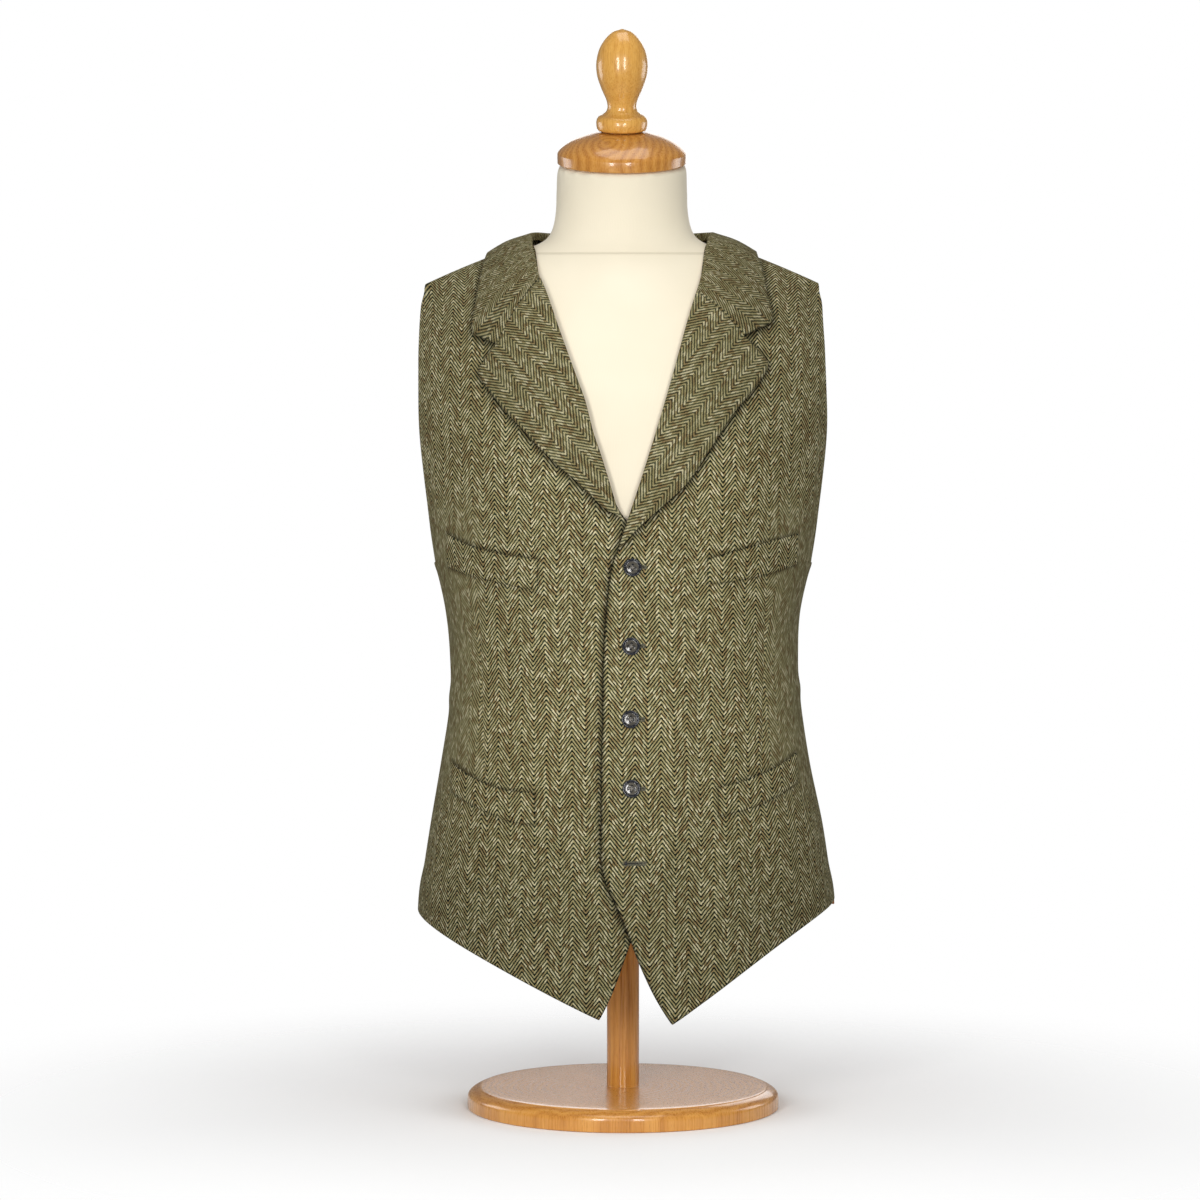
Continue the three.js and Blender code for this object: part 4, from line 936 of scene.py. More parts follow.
def back(name, side):
    """A satin back, from the middle seam to the side seam, armhole and shoulder."""
    table = np.array(BACK_ROWS, float)
    index = index_at(table[:, 1], "back", lambda section: table[:, 0] / section[..., 1])
    centre = along_curve(FACES, index)[..., 6]
    inner_x = centre + side * (table[:, 0] + SEAM_GAP / 2)
    outer = place_around(table[:, 2], table[:, 3], "back")
    rows = np.column_stack([index, around_at_x(index, inner_x, side), outer])
    neck_x, shoulder_around = SHOULDER_TOP[side]
    seam = SHOULDER_SEAM + 0.01
    neck_around = float(around_at_x(np.array(seam), neck_x, side))
    rows = np.vstack([rows, [seam, neck_around, seam, shoulder_around]])
    count, columns = BACK_GRID
    rows = rows_along(rows, side, count)
    t = np.linspace(0, 1, columns)[None, :, None]
    places = rows[:, None, :2] * (1 - t) + rows[:, None, 2:4] * t
    bare = body_point(places[..., 0], places[..., 1], side)
    edge_calm = smooth(np.minimum(t[..., 0], 1 - t[..., 0]) / 0.06)
    lift = crease_lift(bare, CREASES["back", side]) * edge_calm
    lift = lift - 0.6 * np.exp(-(t[..., 0] * columns / 1.4) ** 2)
    outside = raised(places, side, lift)
    inside = raised(places, side, lift - PANEL_WALL)
    across, up = cloth_lengths(places)
    return cloth(name, outside, inside, np.stack([across, -up], -1), [satin])


# Folded strips: lip inside, round the fold, and the leaf out to the free edge
LEAF_POINTS = 26
ROLL_POINTS = 12
LIP_POINTS = 7
FOLD_COLUMN = LIP_POINTS + ROLL_POINTS // 2
LEAF_SAMPLES = 41


def folded_row(leaf, outward, radius, fold_turn, lip_length):
    """Points across a folded strip, from the hidden lip or stand to the leaf's free edge."""
    along = unit(leaf[1] - leaf[0])
    outward = unit(outward - along * (outward @ along))
    centre = leaf[0] + along * radius - outward * radius
    angles = np.linspace(fold_turn, 0, ROLL_POINTS)[:, None]
    roll = centre + radius * (np.cos(angles) * outward - np.sin(angles) * along)
    down = -(math.sin(fold_turn) * outward + math.cos(fold_turn) * along)
    lip = roll[0] + down * np.linspace(lip_length, 0, LIP_POINTS, endpoint=False)[:, None]
    spans = np.concatenate([[0], np.cumsum(np.linalg.norm(np.diff(leaf, axis=0), axis=-1))])
    wanted = np.linspace(radius, spans[-1], LEAF_POINTS + 1)[1:]
    rest = np.stack([np.interp(wanted, spans, leaf[:, axis]) for axis in range(3)], -1)
    return np.concatenate([lip, roll, rest])


def more_rows(rows, parts):
    position = np.linspace(0, len(rows) - 1, (len(rows) - 1) * parts + 1)
    return along_curve(rows, position)


def strip_lengths(outside):
    """Length along a strip at the middle of its leaf, and across it from the fold."""
    middle = outside[:, -LEAF_POINTS // 2]
    along = np.concatenate([[0], np.cumsum(np.linalg.norm(np.diff(middle, axis=0), axis=-1))])
    steps = np.linalg.norm(np.diff(outside, axis=1), axis=-1)
    across = np.concatenate([np.zeros((len(outside), 1)), np.cumsum(steps, axis=1)], axis=1)
    across = across - across[:, [FOLD_COLUMN]]
    return np.broadcast_to(along[:, None], across.shape), across


def strip(name, outside, lengths, free_ends, tone):
    """A folded strip of tweed, whose inner face is found from its outer one."""
    normals = grid_normals(outside)
    centre_row = len(outside) // 2
    towards = outside[centre_row, -1] - outside[centre_row, FOLD_COLUMN]
    if normals[centre_row, FOLD_COLUMN] @ towards > 0:
        normals = -normals
    inside = outside - normals * LAPEL_WALL * 0.82
    # Painted shade: the whole lapel or collar is darkened evenly by the given amount
    marks = {"shaded": np.full(outside.shape[:2], tone),
             "calm": np.full(outside.shape[:2], TRIM_CALM)}
    return cloth(name, outside, inside, lengths, [tweed], free_ends=free_ends, marks=marks)


def lapel(name, table, side, turn):
    """A lapel, turned back over its roll line, with its lip tucked inside the front."""
    table = np.array(table, float)
    roll_line = place_at_x(table[:, 0], table[:, 1], side)
    free_edge = place_at_x(table[:, 2], table[:, 3], side)
    ends = more_rows(np.concatenate([roll_line, free_edge], axis=1), 9)
    t = np.linspace(0, 1, LEAF_SAMPLES)
    rows = []
    for row in ends:
        places = row[:2] * (1 - t[:, None]) + row[2:] * t[:, None]
        bare = body_point(places[:, 0], places[:, 1], side)
        width = np.linalg.norm(bare[-1] - bare[0])
        spring = LEAF_BELLY * np.sin(np.pi * t) ** 0.8 + EDGE_SPRING * smooth(t / 0.6)
        leaf = raised(places, side, front_lift(bare, side) + TRIM_LIFT + spring * smooth(width / 60))
        radius = min(ROLL_RADIUS, 0.42 * width)
        outward = body_normal(places[0, 0], places[0, 1], side)
        rows.append(folded_row(leaf, outward, radius, FOLD_TURN, min(LIP_LENGTH, 0.7 * width)))
    outside = np.array(rows)
    flat_places = place_at_x(outside[..., 0], outside[..., 2], side)
    across, up = cloth_lengths(flat_places)
    lengths = np.stack([across * math.cos(turn) - up * math.sin(turn),
                        across * math.sin(turn) + up * math.cos(turn)], -1)
    return strip(name, outside, lengths, (True, False), LAPEL_PAINTED_SHADE)


def collar_front_row(row, side):
    fold_x, fold_z, fold_lift, edge_x, edge_z = row
    fold = place_at_x(fold_x, fold_z, side)
    edge = place_at_x(edge_x, edge_z, side)
    t = np.linspace(0, 1, LEAF_SAMPLES)[:, None]
    places = fold * (1 - t) + edge * t
    spring = LEAF_BELLY * np.sin(np.pi * t[:, 0]) + EDGE_SPRING * smooth(t[:, 0] / 0.6)
    leaf = raised(places, side, TRIM_LIFT + fold_lift * (1 - t[:, 0]) + spring)
    outward = body_normal(fold[0], fold[1], side)
    lip = LIP_LENGTH + fold_lift * 0.6
    return folded_row(leaf, outward, ROLL_RADIUS, FOLD_TURN, lip)


def collar_back_row(row, side):
    inset, fold_y, fold_z, foot_z, edge_inset, edge_z, bulge = row
    place = place_at_x(side * edge_inset, edge_z, side, "back")
    normal = body_normal(place[0], place[1], side)
    edge = raised(place, side, TRIM_LIFT)
    fold = np.array([side * inset, fold_y, fold_z], float)
    t = np.linspace(0, 1, LEAF_SAMPLES)[:, None]
    leaf = fold * (1 - t) + edge * t + normal * bulge * 4 * t * (1 - t)
    inward = unit(np.array([-fold[0], STAND_CENTRE_Y - fold[1], 0]))
    along = unit(leaf[1] - leaf[0])
    outward = unit(-inward + along * (inward @ along))
    fold_turn = math.atan2(-(inward @ along), inward @ outward)
    return folded_row(leaf, outward, ROLL_RADIUS, fold_turn, fold_z - ROLL_RADIUS - foot_z)


def collar():
    """Leaf and stand in one strip, from the left notch round the neck to the right one."""
    rows = [collar_front_row(row, 1) for row in COLLAR_LEFT_ROWS]
    rows += [collar_back_row(row, 1) for row in COLLAR_BACK_ROWS]
    rows += [collar_back_row(row, -1) for row in COLLAR_BACK_ROWS[-2::-1]]
    rows += [collar_front_row(row, -1) for row in COLLAR_RIGHT_ROWS[::-1]]
    outside = more_rows(np.array(rows), 7)
    along, across = strip_lengths(outside)
    lengths = np.stack([along - along.mean(), -across], -1)
    return strip("collar_folded", outside, lengths, (False, False), COLLAR_PAINTED_SHADE)


def welt(name, stations, side, weave_peak):
    """The welt of a pocket, a little padded, and pressed flat at its foot and ends."""
    stations = np.array(stations, float)
    bottom = place_at_x(stations[:, 0], stations[:, 2], side)
    top = place_at_x(stations[:, 0], stations[:, 1], side)
    rows = more_rows(np.concatenate([bottom, top], axis=1), 16)
    t = np.linspace(0, 1, 19)
    places = rows[:, None, :2] * (1 - t[None, :, None]) + rows[:, None, 2:] * t[None, :, None]
    end = np.linspace(0, 1, len(rows))[:, None]
    press = np.exp(-(end / 0.02) ** 2) + np.exp(-((1 - end) / 0.02) ** 2) + np.exp(-(t / 0.07) ** 2)
    swell = WELT_SWELL * np.sin(np.pi * np.clip(t + 0.15, 0, 1)) * np.sin(np.pi * end) ** 0.3
    lift = TRIM_LIFT - WELT_SINK + swell - WELT_PRESS * np.minimum(press, 1)
    outside = raised(places, side, lift)
    inside = raised(places, side, np.zeros(lift.shape) + 0.1)
    across, up = cloth_lengths(places)
    return cloth(name, outside, inside, np.stack([across - weave_peak, up], -1), [tweed])


# Turned pieces
def lathe(name, profile, finish, lean=0.0, origin=(0, 0, 0), segments=112, fineness=5):
    """A turned solid; a point given twice in its profile stays a corner."""
    profile = np.array(profile, float)
    position = np.linspace(0, len(profile) - 1, (len(profile) - 1) * fineness + 1)
    points = along_curve(profile, position)
    corners = np.flatnonzero(np.all(profile[1:] == profile[:-1], axis=1))
    for corner in corners:
        for start in (corner - 1, corner, corner + 1):
            if 0 <= start < len(profile) - 1:
                inside = (position > start) & (position < start + 1)
                t = (position[inside] - start)[:, None]
                points[inside] = profile[start] * (1 - t) + profile[start + 1] * t
    keep = np.concatenate([[True], np.linalg.norm(np.diff(points, axis=0), axis=1) > 1e-4])
    points = points[keep]
    points[:, 1] = np.maximum(points[:, 1], 0)
    rings = points[points[:, 1] > 1e-3]
    angle = np.linspace(0, 2 * np.pi, segments, endpoint=False)
    grid = np.stack([rings[:, 1, None] * np.cos(angle), rings[:, 1, None] * np.sin(angle),
                     rings[:, 0, None] + 0 * angle], -1)
    bottom, top = (0, 0, points[0, 0]), (0, 0, points[-1, 0])
    local = np.concatenate([grid.reshape(-1, 3), [bottom, top]])
    turned = np.stack([local[:, 0], local[:, 1] * math.cos(lean) - local[:, 2] * math.sin(lean),
                       local[:, 1] * math.sin(lean) + local[:, 2] * math.cos(lean)], -1)
    number = np.arange(len(rings) * segments).reshape(len(rings), segments)
    faces = capped_rings(number, len(local) - 2, len(local) - 1)
    return new_piece(name, turned + origin, faces, [finish])


# Buttons
def from_each_hole(x, y):
    """How far points of a button's face are from the middle of each of its holes."""
    for hole in range(BUTTON_HOLES):
        angle = hole * math.pi / 2 + BUTTON_TURN
        yield np.hypot(x - HOLE_RING * math.cos(angle), y - HOLE_RING * math.sin(angle))


def button_height(radius, x, y):
    """The button's face: round outer rim, groove, inner ring, dish and four holes."""
    rim = 1.50 - 0.85 * np.abs((radius - BUTTON_RIM) / BUTTON_RIM_HALF) ** 2.4
    inner = 1.02 - 0.42 * np.maximum(0, (radius - 5.1) / 0.75) ** 2
    inner = inner - 0.34 * smooth((5.0 - radius) / 3.4)
    face = np.maximum(rim, inner)
    for away in from_each_hole(x, y):
        face = face - 1.6 * smooth((HOLE_RADIUS - away) / 0.35)
    return face


def surface_frame(x, height, lift):
    """A point over the left front, with across, up and outward directions there."""
    place = place_at_x(x, height, 1)
    normal = body_normal(place[0], place[1], 1)
    up = unit(np.array([0, 0, 1.0]) - normal * normal[2])
    across = np.cross(up, normal)
    return raised(place, 1, lift), across, up, normal


def front_lift_at(x, height):
    place = place_at_x(x, height, 1)
    return float(overlap_lift(body_point(place[0], place[1], 1)))


def button(name, x, height, cloth_lift):
    """A turned button with four holes, lying on the cloth."""
    segments = 72
    radii = np.concatenate([np.linspace(0.12, 3.6, 22), np.linspace(3.8, 7.4, 26)])
    angle = np.linspace(0, 2 * np.pi, segments, endpoint=False)
    px, py = radii[:, None] * np.cos(angle), radii[:, None] * np.sin(angle)
    top = button_height(radii[:, None] + 0 * angle, px, py)
    edge_profile = [
        (BUTTON_RADIUS, 0.75), (BUTTON_RADIUS, -0.1), (7.2, -0.8), (6.4, -1.3),
        (5.2, -BUTTON_THICKNESS / 2), (0.12, -BUTTON_THICKNESS / 2)]
    rings = [np.stack([px, py, top], -1)]
    for radius, level in edge_profile:
        ring = np.stack([radius * np.cos(angle), radius * np.sin(angle), level + 0 * angle], -1)
        rings.append(ring[None])
    grid = np.concatenate(rings)
    centre, across, up, normal = surface_frame(x, height, cloth_lift + SEAM_GAP + BUTTON_THICKNESS / 2)
    points = grid.reshape(-1, 3)
    centre_top = [0, 0, float(button_height(np.array(0.0), 0.0, 0.0))]
    points = np.concatenate([points, [centre_top, [0, 0, -BUTTON_THICKNESS / 2]]])
    dish = smooth((5.4 - np.hypot(points[:, 0], points[:, 1])) / 0.6) * (points[:, 2] > -0.9)
    for away in from_each_hole(points[:, 0], points[:, 1]):
        dish = dish * smooth((away - 0.6) / 0.4)
    world = centre + points @ np.stack([across, up, normal])
    number = np.arange(len(grid) * segments).reshape(len(grid), segments)
    faces = [face[::-1] for face in capped_rings(number, len(points) - 2, len(points) - 1)]
    return new_piece(name, world, faces, [horn], values={"dish": dish})


# Stitches, set by Geometry Nodes along paths that carry their directions
def stitch_setter():
    """Sets one rounded stitch at every point, turned by the point's own angles."""
    tree = bpy.data.node_groups.new("stitch_setter", "GeometryNodeTree")
    interface = tree.interface
    interface.new_socket("Geometry", in_out="INPUT", socket_type="NodeSocketGeometry")
    for label, value in (("Stitch length", 0.002), ("Stitch thickness", 0.0006)):
        socket = interface.new_socket(label, in_out="INPUT", socket_type="NodeSocketFloat")
        socket.default_value = value
    interface.new_socket("Unevenness", in_out="INPUT", socket_type="NodeSocketFloat").default_value = 0.1
    interface.new_socket("Seed", in_out="INPUT", socket_type="NodeSocketInt").default_value = 7
    interface.new_socket("Thread", in_out="INPUT", socket_type="NodeSocketMaterial")
    interface.new_socket("Geometry", in_out="OUTPUT", socket_type="NodeSocketGeometry")
    nodes, links = tree.nodes, tree.links
    given = nodes.new("NodeGroupInput")
    made = nodes.new("NodeGroupOutput")
    ball = nodes.new("GeometryNodeMeshUVSphere")
    ball.inputs["Segments"].default_value = 8
    ball.inputs["Rings"].default_value = 6
    ball.inputs["Radius"].default_value = 0.5
    size = nodes.new("ShaderNodeCombineXYZ")
    links.new(given.outputs["Stitch thickness"], size.inputs[0])
    links.new(given.outputs["Stitch length"], size.inputs[1])
    links.new(given.outputs["Stitch thickness"], size.inputs[2])
    stretch = nodes.new("GeometryNodeTransform")
    links.new(ball.outputs["Mesh"], stretch.inputs["Geometry"])
    links.new(size.outputs[0], stretch.inputs["Scale"])
    turn = nodes.new("GeometryNodeInputNamedAttribute")
    turn.data_type = "FLOAT_VECTOR"
    turn.inputs["Name"].default_value = "turn"
    uneven = nodes.new("FunctionNodeRandomValue")
    uneven.data_type = "FLOAT"
    for operation, limit in (("SUBTRACT", uneven.inputs[2]), ("ADD", uneven.inputs[3])):
        about_one = nodes.new("ShaderNodeMath")
        about_one.operation = operation
        about_one.inputs[0].default_value = 1.0
        links.new(given.outputs["Unevenness"], about_one.inputs[1])
        links.new(about_one.outputs[0], limit)
    links.new(given.outputs["Seed"], uneven.inputs["Seed"])
    place = nodes.new("GeometryNodeInstanceOnPoints")
    links.new(given.outputs["Geometry"], place.inputs["Points"])
    links.new(stretch.outputs["Geometry"], place.inputs["Instance"])
    links.new(turn.outputs["Attribute"], place.inputs["Rotation"])
    links.new(uneven.outputs[1], place.inputs["Scale"])
    real = nodes.new("GeometryNodeRealizeInstances")
    links.new(place.outputs[0], real.inputs[0])
    smooth_shade = nodes.new("GeometryNodeSetShadeSmooth")
    links.new(real.outputs[0], smooth_shade.inputs[0])
    paint = nodes.new("GeometryNodeSetMaterial")
    links.new(smooth_shade.outputs[0], paint.inputs[0])
    links.new(given.outputs["Thread"], paint.inputs["Material"])
    links.new(paint.outputs[0], made.inputs[0])
    return tree


STITCH_SETTER = stitch_setter()
STITCH_UNEVENNESS = 0.12
STITCH_SEED = 7


def stitches(name, points, along, outward, length, thickness, thread):
    """Stitches centred on points, each lying along its direction on the cloth."""
    mesh = bpy.data.meshes.new(name + "_path")
    mesh.from_pydata((np.asarray(points) * MM).tolist(), [], [])
    turns = []
    for direction, normal in zip(unit(np.asarray(along)), unit(np.asarray(outward))):
        side = unit(np.cross(direction, normal))
        basis = Matrix([side.tolist(), direction.tolist(), np.cross(side, direction).tolist()])
        turns.append(basis.transposed().to_euler())
    attribute = mesh.attributes.new("turn", "FLOAT_VECTOR", "POINT")
    attribute.data.foreach_set("vector", np.array(turns, np.float32).ravel())
    path = stand_in_scene(name + "_path", mesh)
    modifier = path.modifiers.new("stitches", "NODES")
    modifier.node_group = STITCH_SETTER
    settings = {"Stitch length": length * MM, "Stitch thickness": thickness * MM,
                "Unevenness": STITCH_UNEVENNESS, "Seed": STITCH_SEED, "Thread": thread}
    for item in STITCH_SETTER.interface.items_tree:
        if item.in_out == "INPUT" and item.name in settings:
            modifier[item.identifier] = settings[item.name]
    graph = bpy.context.evaluated_depsgraph_get()
    made = bpy.data.meshes.new_from_object(path.evaluated_get(graph))
    made.name = name
    thing = stand_in_scene(name, made)
    path.modifiers.remove(modifier)
    bpy.data.objects.remove(path)
    return thing


BUTTONHOLE_START = -7.0
BUTTONHOLE_END = 10.6
EYELET_RADIUS = 1.5
EYELET_X = BUTTONHOLE_START + EYELET_RADIUS
BUTTONHOLE_SHIFT = 0.3
EMPTY_BUTTONHOLE_X = 6.8
SLIT_HALF, SLIT_TOP, SLIT_FLOOR = 0.28, 0.12, -0.3
EYELET_STITCH_OUT = 0.75
SIDE_STITCH_OUT, SIDE_STITCH_STEP = 1.15, 0.62
END_STITCH_STEP = 0.55
BUTTONHOLE_STITCH = (1.7, 0.62)
BUTTONHOLE_STITCH_LIFT = 0.18
BUTTON_THREAD = (4.6, 0.36)
BUTTON_THREAD_LIFT = 0.62
BUTTON_THREAD_ASIDE = 0.20


def buttonhole_path():
    """Points round a keyhole buttonhole, as x and height about its middle, and outward ways."""
    points, ways = [], []
    for angle in np.linspace(math.radians(28), math.radians(332), 15):
        way = np.array([math.cos(angle), math.sin(angle)])
        points.append(np.array([EYELET_X, 0]) + way * (EYELET_RADIUS + EYELET_STITCH_OUT))
        ways.append(way)
    for x in np.arange(EYELET_X + 2.3, BUTTONHOLE_END, SIDE_STITCH_STEP):
        for side in (1, -1):
            points.append(np.array([x, side * SIDE_STITCH_OUT]))
            ways.append(np.array([0.0, side]))
    for height in np.arange(-1.4, 1.5, END_STITCH_STEP):
        points.append(np.array([BUTTONHOLE_END + 0.3, height]))
        ways.append(np.array([1.0, 0.0]))
    return np.array(points), np.array(ways)


def slit_outline():
    """The open slit of a buttonhole, round its eyelet and narrow to its end."""
    outline = []
    for angle in np.linspace(math.radians(20), math.radians(340), 18):
        outline.append((EYELET_X + math.cos(angle) * EYELET_RADIUS, math.sin(angle) * EYELET_RADIUS))
    return outline + [(BUTTONHOLE_END, -SLIT_HALF), (BUTTONHOLE_END, SLIT_HALF)]


def on_lap(x, height, lift):
    """surface_frame on the left front as it lies, lifted a little more."""
    return surface_frame(x, height, front_lift_at(x, height) + lift)


def buttonholes():
    """Dark slits and the stitches round them, one for each button and one left empty."""
    path, ways = buttonhole_path()
    outline = slit_outline()
    count = len(outline)
    spots, directions, outwards = [], [], []
    slit_points, slit_faces = [], []
    for x, height in BUTTONS:
        middle = EMPTY_BUTTONHOLE_X if (x, height) == HIDDEN_BUTTON else x + BUTTONHOLE_SHIFT
        for (px, pz), (wx, wz) in zip(path, ways):
            where, across, up, normal = on_lap(middle + px, height + pz, BUTTONHOLE_STITCH_LIFT)
            spots.append(where)
            directions.append(across * wx + up * wz)
            outwards.append(normal)
        start = len(slit_points)
        for lift in (SLIT_TOP, SLIT_FLOOR):
            slit_points += [on_lap(middle + px, height + pz, lift)[0] for px, pz in outline]
        slit_faces.append(list(range(start, start + count)))
        slit_faces.append(list(range(start + 2 * count - 1, start + count - 1, -1)))
        for at in range(count):
            after = (at + 1) % count
            slit_faces.append([start + after, start + at, start + count + at, start + count + after])
    slits = new_piece("buttonhole_slits", slit_points, slit_faces, [slit_shadow])
    sewn = stitches("buttonhole_stitches", spots, directions, outwards,
                    *BUTTONHOLE_STITCH, buttonhole_thread)
    return slits, sewn


def button_threads():
    """Two bars of thread cross the dish of each button that shows, from hole to hole."""
    spots, directions, outwards = [], [], []
    for x, height in SHOWN_BUTTONS:
        lift = SEAM_GAP + BUTTON_THICKNESS / 2 + BUTTON_THREAD_LIFT
        where, across, up, normal = on_lap(x, height, lift)
        for bar in range(2):
            angle = bar * math.pi / 2 + BUTTON_TURN
            way = across * math.cos(angle) + up * math.sin(angle)
            aside = across * -math.sin(angle) + up * math.cos(angle)
            for strand in (-BUTTON_THREAD_ASIDE, BUTTON_THREAD_ASIDE):
                spots.append(where + aside * strand + normal * 0.25 * bar)
                directions.append(way)
                outwards.append(normal)
    return stitches("button_threads", spots, directions, outwards, *BUTTON_THREAD, button_thread)


# Dress form
def ring_solid(rings):
    """Points and faces of a closed solid through rings, with its ends filled."""
    points = np.concatenate([rings.reshape(-1, 3), [rings[0].mean(axis=0), rings[-1].mean(axis=0)]])
    number = np.arange(rings.shape[0] * rings.shape[1]).reshape(rings.shape[:2])
    return points, capped_rings(number, len(points) - 2, len(points) - 1)


def torso_rings():
    """Rings of the torso, inside the cloth and flat at the armholes."""
    start = float(index_at(np.array(float(FORM_BOTTOM)), "front", lambda section: 1.0))
    index = np.linspace(start, RIDGE - 0.06, 150)
    near_shoulder = smooth((index - (RIDGE - 5)) / 3)
    gap = FORM_CHEST_GAP + (FORM_SHOULDER_GAP - FORM_CHEST_GAP) * near_shoulder
    turn = np.linspace(0, 2, 81)[:-1]
    halves = []
    for side in (1, -1):
        around = turn if side > 0 else 2 - turn
        grid_index = index[:, None] + 0 * around
        grid_around = around + 0 * index[:, None]
        lift = (-PANEL_WALL - gap)[:, None] + 0 * around
        halves.append(raised(np.stack([grid_index, grid_around], -1), side, lift))
    torso = np.concatenate(halves, axis=1)
    torso[..., 0] = np.clip(torso[..., 0], -FORM_ARM_PLATE, FORM_ARM_PLATE)
    torso[..., 2] = np.maximum(torso[..., 2], FORM_BOTTOM)
    return torso


def neck_rings():
    """Rings of the neck, from inside the torso up to the slanting seat of the cap."""
    position = np.linspace(0, len(NECK_SECTIONS) - 1, 40)
    sections = along_curve(NECK_SECTIONS, position)
    angle = np.linspace(0, 2 * np.pi, 96, endpoint=False)
    neck = np.stack([
        NECK_TOP[0] + sections[:, 1, None] * np.sin(angle),
        sections[:, 3, None] - sections[:, 2, None] * np.cos(angle),
        sections[:, 0, None] + 0 * angle], -1)
    rim = np.stack([NECK_TOP_RADIUS * np.sin(angle),
                    -NECK_TOP_RADIUS * np.cos(angle) * math.cos(NECK_LEAN),
                    -NECK_TOP_RADIUS * np.cos(angle) * math.sin(NECK_LEAN)], -1) + NECK_TOP
    t = np.linspace(0, 1, 10)[1:, None, None]
    return np.concatenate([neck, neck[-1] * (1 - t) + rim * t])


def dress_form():
    """Torso and neck, joined into one skin and smoothed where they meet."""
    torso_points, torso_faces = ring_solid(torso_rings())
    neck_points, neck_faces = ring_solid(neck_rings())
    faces = torso_faces + [[corner + len(torso_points) for corner in face] for face in neck_faces]
    mesh = bpy.data.meshes.new("form_rough")
    mesh.from_pydata((np.concatenate([torso_points, neck_points]) * MM).tolist(), [], faces)
    mesh.update()
    rough = stand_in_scene("form_rough", mesh)
    remesh = rough.modifiers.new("join", "REMESH")
    remesh.mode = "VOXEL"
    remesh.voxel_size = FORM_VOXEL * MM
    graph = bpy.context.evaluated_depsgraph_get()
    joined = bpy.data.meshes.new_from_object(rough.evaluated_get(graph))
    bpy.data.objects.remove(rough)
    joined.name = "form_smooth"
    soften(joined)
    joined.materials.clear()
    joined.materials.append(jersey)
    joined.polygons.foreach_set("use_smooth", np.ones(len(joined.polygons), bool))
    return stand_in_scene("form_smooth", joined)


def soften(mesh):
    """Evens out the joined form, and most of all the hollow where the neck meets the shoulders."""
    count = len(mesh.vertices)
    points = np.empty(count * 3, np.float64)
    mesh.vertices.foreach_get("co", points)
    points = points.reshape(-1, 3)
    edges = np.empty(len(mesh.edges) * 2, np.int32)
    mesh.edges.foreach_get("vertices", edges)
    edges = edges.reshape(-1, 2)
    degree = np.bincount(edges.ravel(), minlength=count)[:, None]
    radius = np.hypot(points[:, 0] / MM, points[:, 1] / MM - NECK_FOOT_Y)
    height = points[:, 2] / MM
    near_neck = smooth((NECK_BLEND_RADIUS - radius) / 30)
    near_neck = near_neck * smooth((height - NECK_BLEND_BOTTOM) / 20)
    near_neck = near_neck * smooth((NECK_BLEND_TOP - height) / 12)
    for step in range(SOFTEN_STEPS):
        total = np.zeros_like(points)
        for axis in range(3):
            total[:, axis] = (
                np.bincount(edges[:, 0], points[edges[:, 1], axis], count)
                + np.bincount(edges[:, 1], points[edges[:, 0], axis], count))
        everywhere = step < SOFTEN_STEPS_EVERYWHERE
        weight = 0.5 * (np.ones(count) if everywhere else near_neck)[:, None]
        points += weight * (total / degree - points)
    mesh.vertices.foreach_set("co", points.ravel())
    mesh.update()


# Soft lights, in metres and watts: name, place, width and height, and power
LIGHTS = [
    ("left_key", (-0.46, -1.40, 0.62), (0.20, 0.80), 10.6),
    ("right_key", (0.28, -1.46, 0.62), (0.20, 0.80), 9.2),
    ("left_softbox", (-1.65, 0.75, 0.80), (0.8, 0.8), 7),
    ("right_softbox", (1.65, 0.75, 0.80), (0.8, 0.8), 7),
    ("top_softbox", (0.1, -0.4, 2.6), (1.4, 1.4), 18),
    ("back_softbox", (0.4, 2.6, 1.4), (1.6, 1.6), 16),
]
LIGHTS_AIM = (0, 0, 0.45)
SURROUND_LIGHT = 0.20
FLOOR_HALF = 0.8
FLOOR_FADES_FROM, FLOOR_FADES_TO = 0.16, 0.75


def pale_floor():
    """A pale floor that fades into the white surround."""
    size = FLOOR_HALF
    mesh = bpy.data.meshes.new("floor")
    mesh.from_pydata([(-size, -size, 0), (size, -size, 0), (size, size, 0), (-size, size, 0)],
                     [], [(0, 1, 2, 3)])
    floor = stand_in_scene("floor", mesh)
    f = Finish("pale_floor")
    x, y, _ = f.split(f.place())
    faded = f.band(f.length(x, y), FLOOR_FADES_FROM, FLOOR_FADES_TO)
    f.colour((0.94, 0.94, 0.94, 1))
    f.feed(f.surface.inputs["Alpha"], f.calc("SUBTRACT", 1.0, faded))
    f.set(Roughness=0.9, Specular_IOR_Level=0.1)
    mesh.materials.append(f.material)


def white_surround():
    """White to the camera, and a low even light on everything else."""
    world = bpy.data.worlds.new("white_surround")
    bpy.context.scene.world = world
    world.use_nodes = True
    nodes, links = world.node_tree.nodes, world.node_tree.links
    nodes.clear()
    shade = nodes.new("ShaderNodeBackground")
    shade.inputs[0].default_value = (1, 1, 1, 1)
    seen = nodes.new("ShaderNodeLightPath")
    strength = nodes.new("ShaderNodeMapRange")
    strength.inputs["To Min"].default_value = SURROUND_LIGHT
    strength.inputs["To Max"].default_value = 1.0
    links.new(seen.outputs["Is Camera Ray"], strength.inputs["Value"])
    links.new(strength.outputs[0], shade.inputs[1])
    output = nodes.new("ShaderNodeOutputWorld")
    links.new(shade.outputs[0], output.inputs[0])


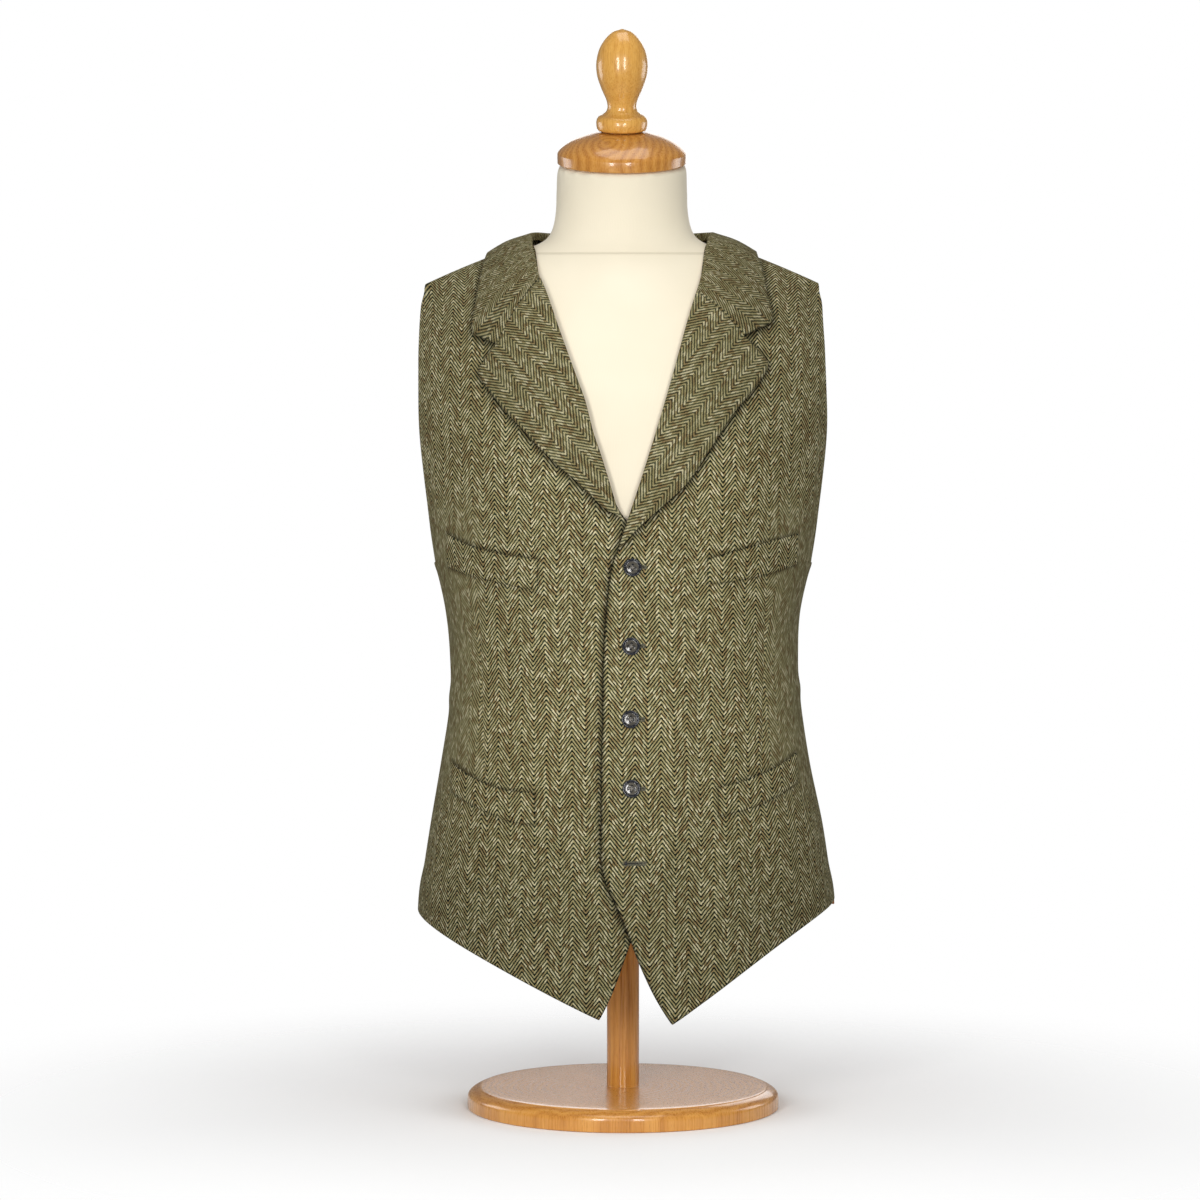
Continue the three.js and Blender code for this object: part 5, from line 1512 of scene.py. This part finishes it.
def soft_lights():
    for name, where, size, power in LIGHTS:
        light = bpy.data.lights.new(name, "AREA")
        light.shape = "RECTANGLE"
        light.size, light.size_y = size
        light.energy = power
        lamp = stand_in_scene(name, light)
        lamp.location = where
        lamp.visible_camera = False
        aim = Vector(LIGHTS_AIM) - Vector(where)
        lamp.rotation_euler = aim.to_track_quat("-Z", "Y").to_euler()


bpy.context.scene.view_settings.view_transform = "Standard"
pale_floor()
white_surround()
soft_lights()

# The waistcoat, the form and the stand
front_left = front("front_left_cloth", FRONT_LEFT_ROWS, 1, LEFT_PEAK)
front_right = front("front_right_cloth", FRONT_RIGHT_ROWS, -1, RIGHT_PEAK)
back_left = back("back_left_satin", 1)
back_right = back("back_right_satin", -1)
lapel_left = lapel("lapel_left_folded", LAPEL_LEFT_ROWS, 1, LAPEL_LEFT_TURN)
lapel_right = lapel("lapel_right_folded", LAPEL_RIGHT_ROWS, -1, LAPEL_RIGHT_TURN)
collar_piece = collar()
welts = {
    node: welt(node + "_cloth", stations, 1 if node.endswith("left") else -1,
               LEFT_PEAK if node.endswith("left") else RIGHT_PEAK)
    for node, stations in WELTS.items()
}
buttons = []
for number, (x, height) in enumerate(BUTTONS):
    cloth_lift = 0 if (x, height) == HIDDEN_BUTTON else front_lift_at(x, height)
    buttons.append(button(f"button_{number + 1}_turned", x, height, cloth_lift))
slits, buttonhole_sewing = buttonholes()
threads = button_threads()
form = dress_form()
cap = lathe("neck_cap_turned", CAP_PROFILE, cap_wood, NECK_LEAN, NECK_TOP)
knob = lathe("cap_knob_turned", KNOB_PROFILE, knob_wood, NECK_LEAN, NECK_TOP)
pole = lathe("stand_pole_turned", POLE_PROFILE, stand_wood)
base = lathe("stand_base_turned", BASE_PROFILE, stand_wood)

# Flat cut of what shows, in metres: width, length and area
FRONT_CUT = ((0.245, 0.70), 0.126)
BACK_CUT = ((0.245, 0.60), 0.120)
LAPEL_LEFT_CUT = ((0.10, 0.24), 0.0125)
LAPEL_RIGHT_CUT = ((0.10, 0.24), 0.0115)
COLLAR_CUT = ((0.085, 0.48), 0.034)
CHEST_WELT_CUT = ((0.030, 0.095), 0.0025)
LOWER_WELT_CUT = ((0.027, 0.088), 0.0022)
cloth_pieces = [
    (front_left, ("front_left",), *FRONT_CUT, ["form_torso"]),
    (front_right, ("front_right",), *FRONT_CUT, ["form_torso"]),
    (back_left, ("back_left",), *BACK_CUT, ["form_torso"]),
    (back_right, ("back_right",), *BACK_CUT, ["form_torso"]),
    (lapel_left, ("lapel_left",), *LAPEL_LEFT_CUT, ["front_left"]),
    (lapel_right, ("lapel_right",), *LAPEL_RIGHT_CUT, ["front_right"]),
    (collar_piece, ("collar", "collar_stand"), *COLLAR_CUT, ["front_left", "front_right"]),
]
for node, piece in welts.items():
    cut = CHEST_WELT_CUT if node.startswith("chest") else LOWER_WELT_CUT
    under = "front_left" if node.endswith("left") else "front_right"
    cloth_pieces.append((piece, (node,), *cut, [under]))
for piece, nodes, flat, area, rests_on in cloth_pieces:
    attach(piece, "root")
    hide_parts(*nodes)
for piece, node, slot in [
        (form, "form_torso", "jersey"), (cap, "neck_cap", "polished_wood"),
        (knob, "cap_knob", "polished_wood"), (pole, "stand_pole", "polished_wood"),
        (base, "stand_base", "polished_wood"),
        *[(piece, f"button_{number + 1}", "horn") for number, piece in enumerate(buttons)]]:
    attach(piece, "root")
    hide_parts(node)
for piece in (slits, buttonhole_sewing, threads):
    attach(piece, "root")
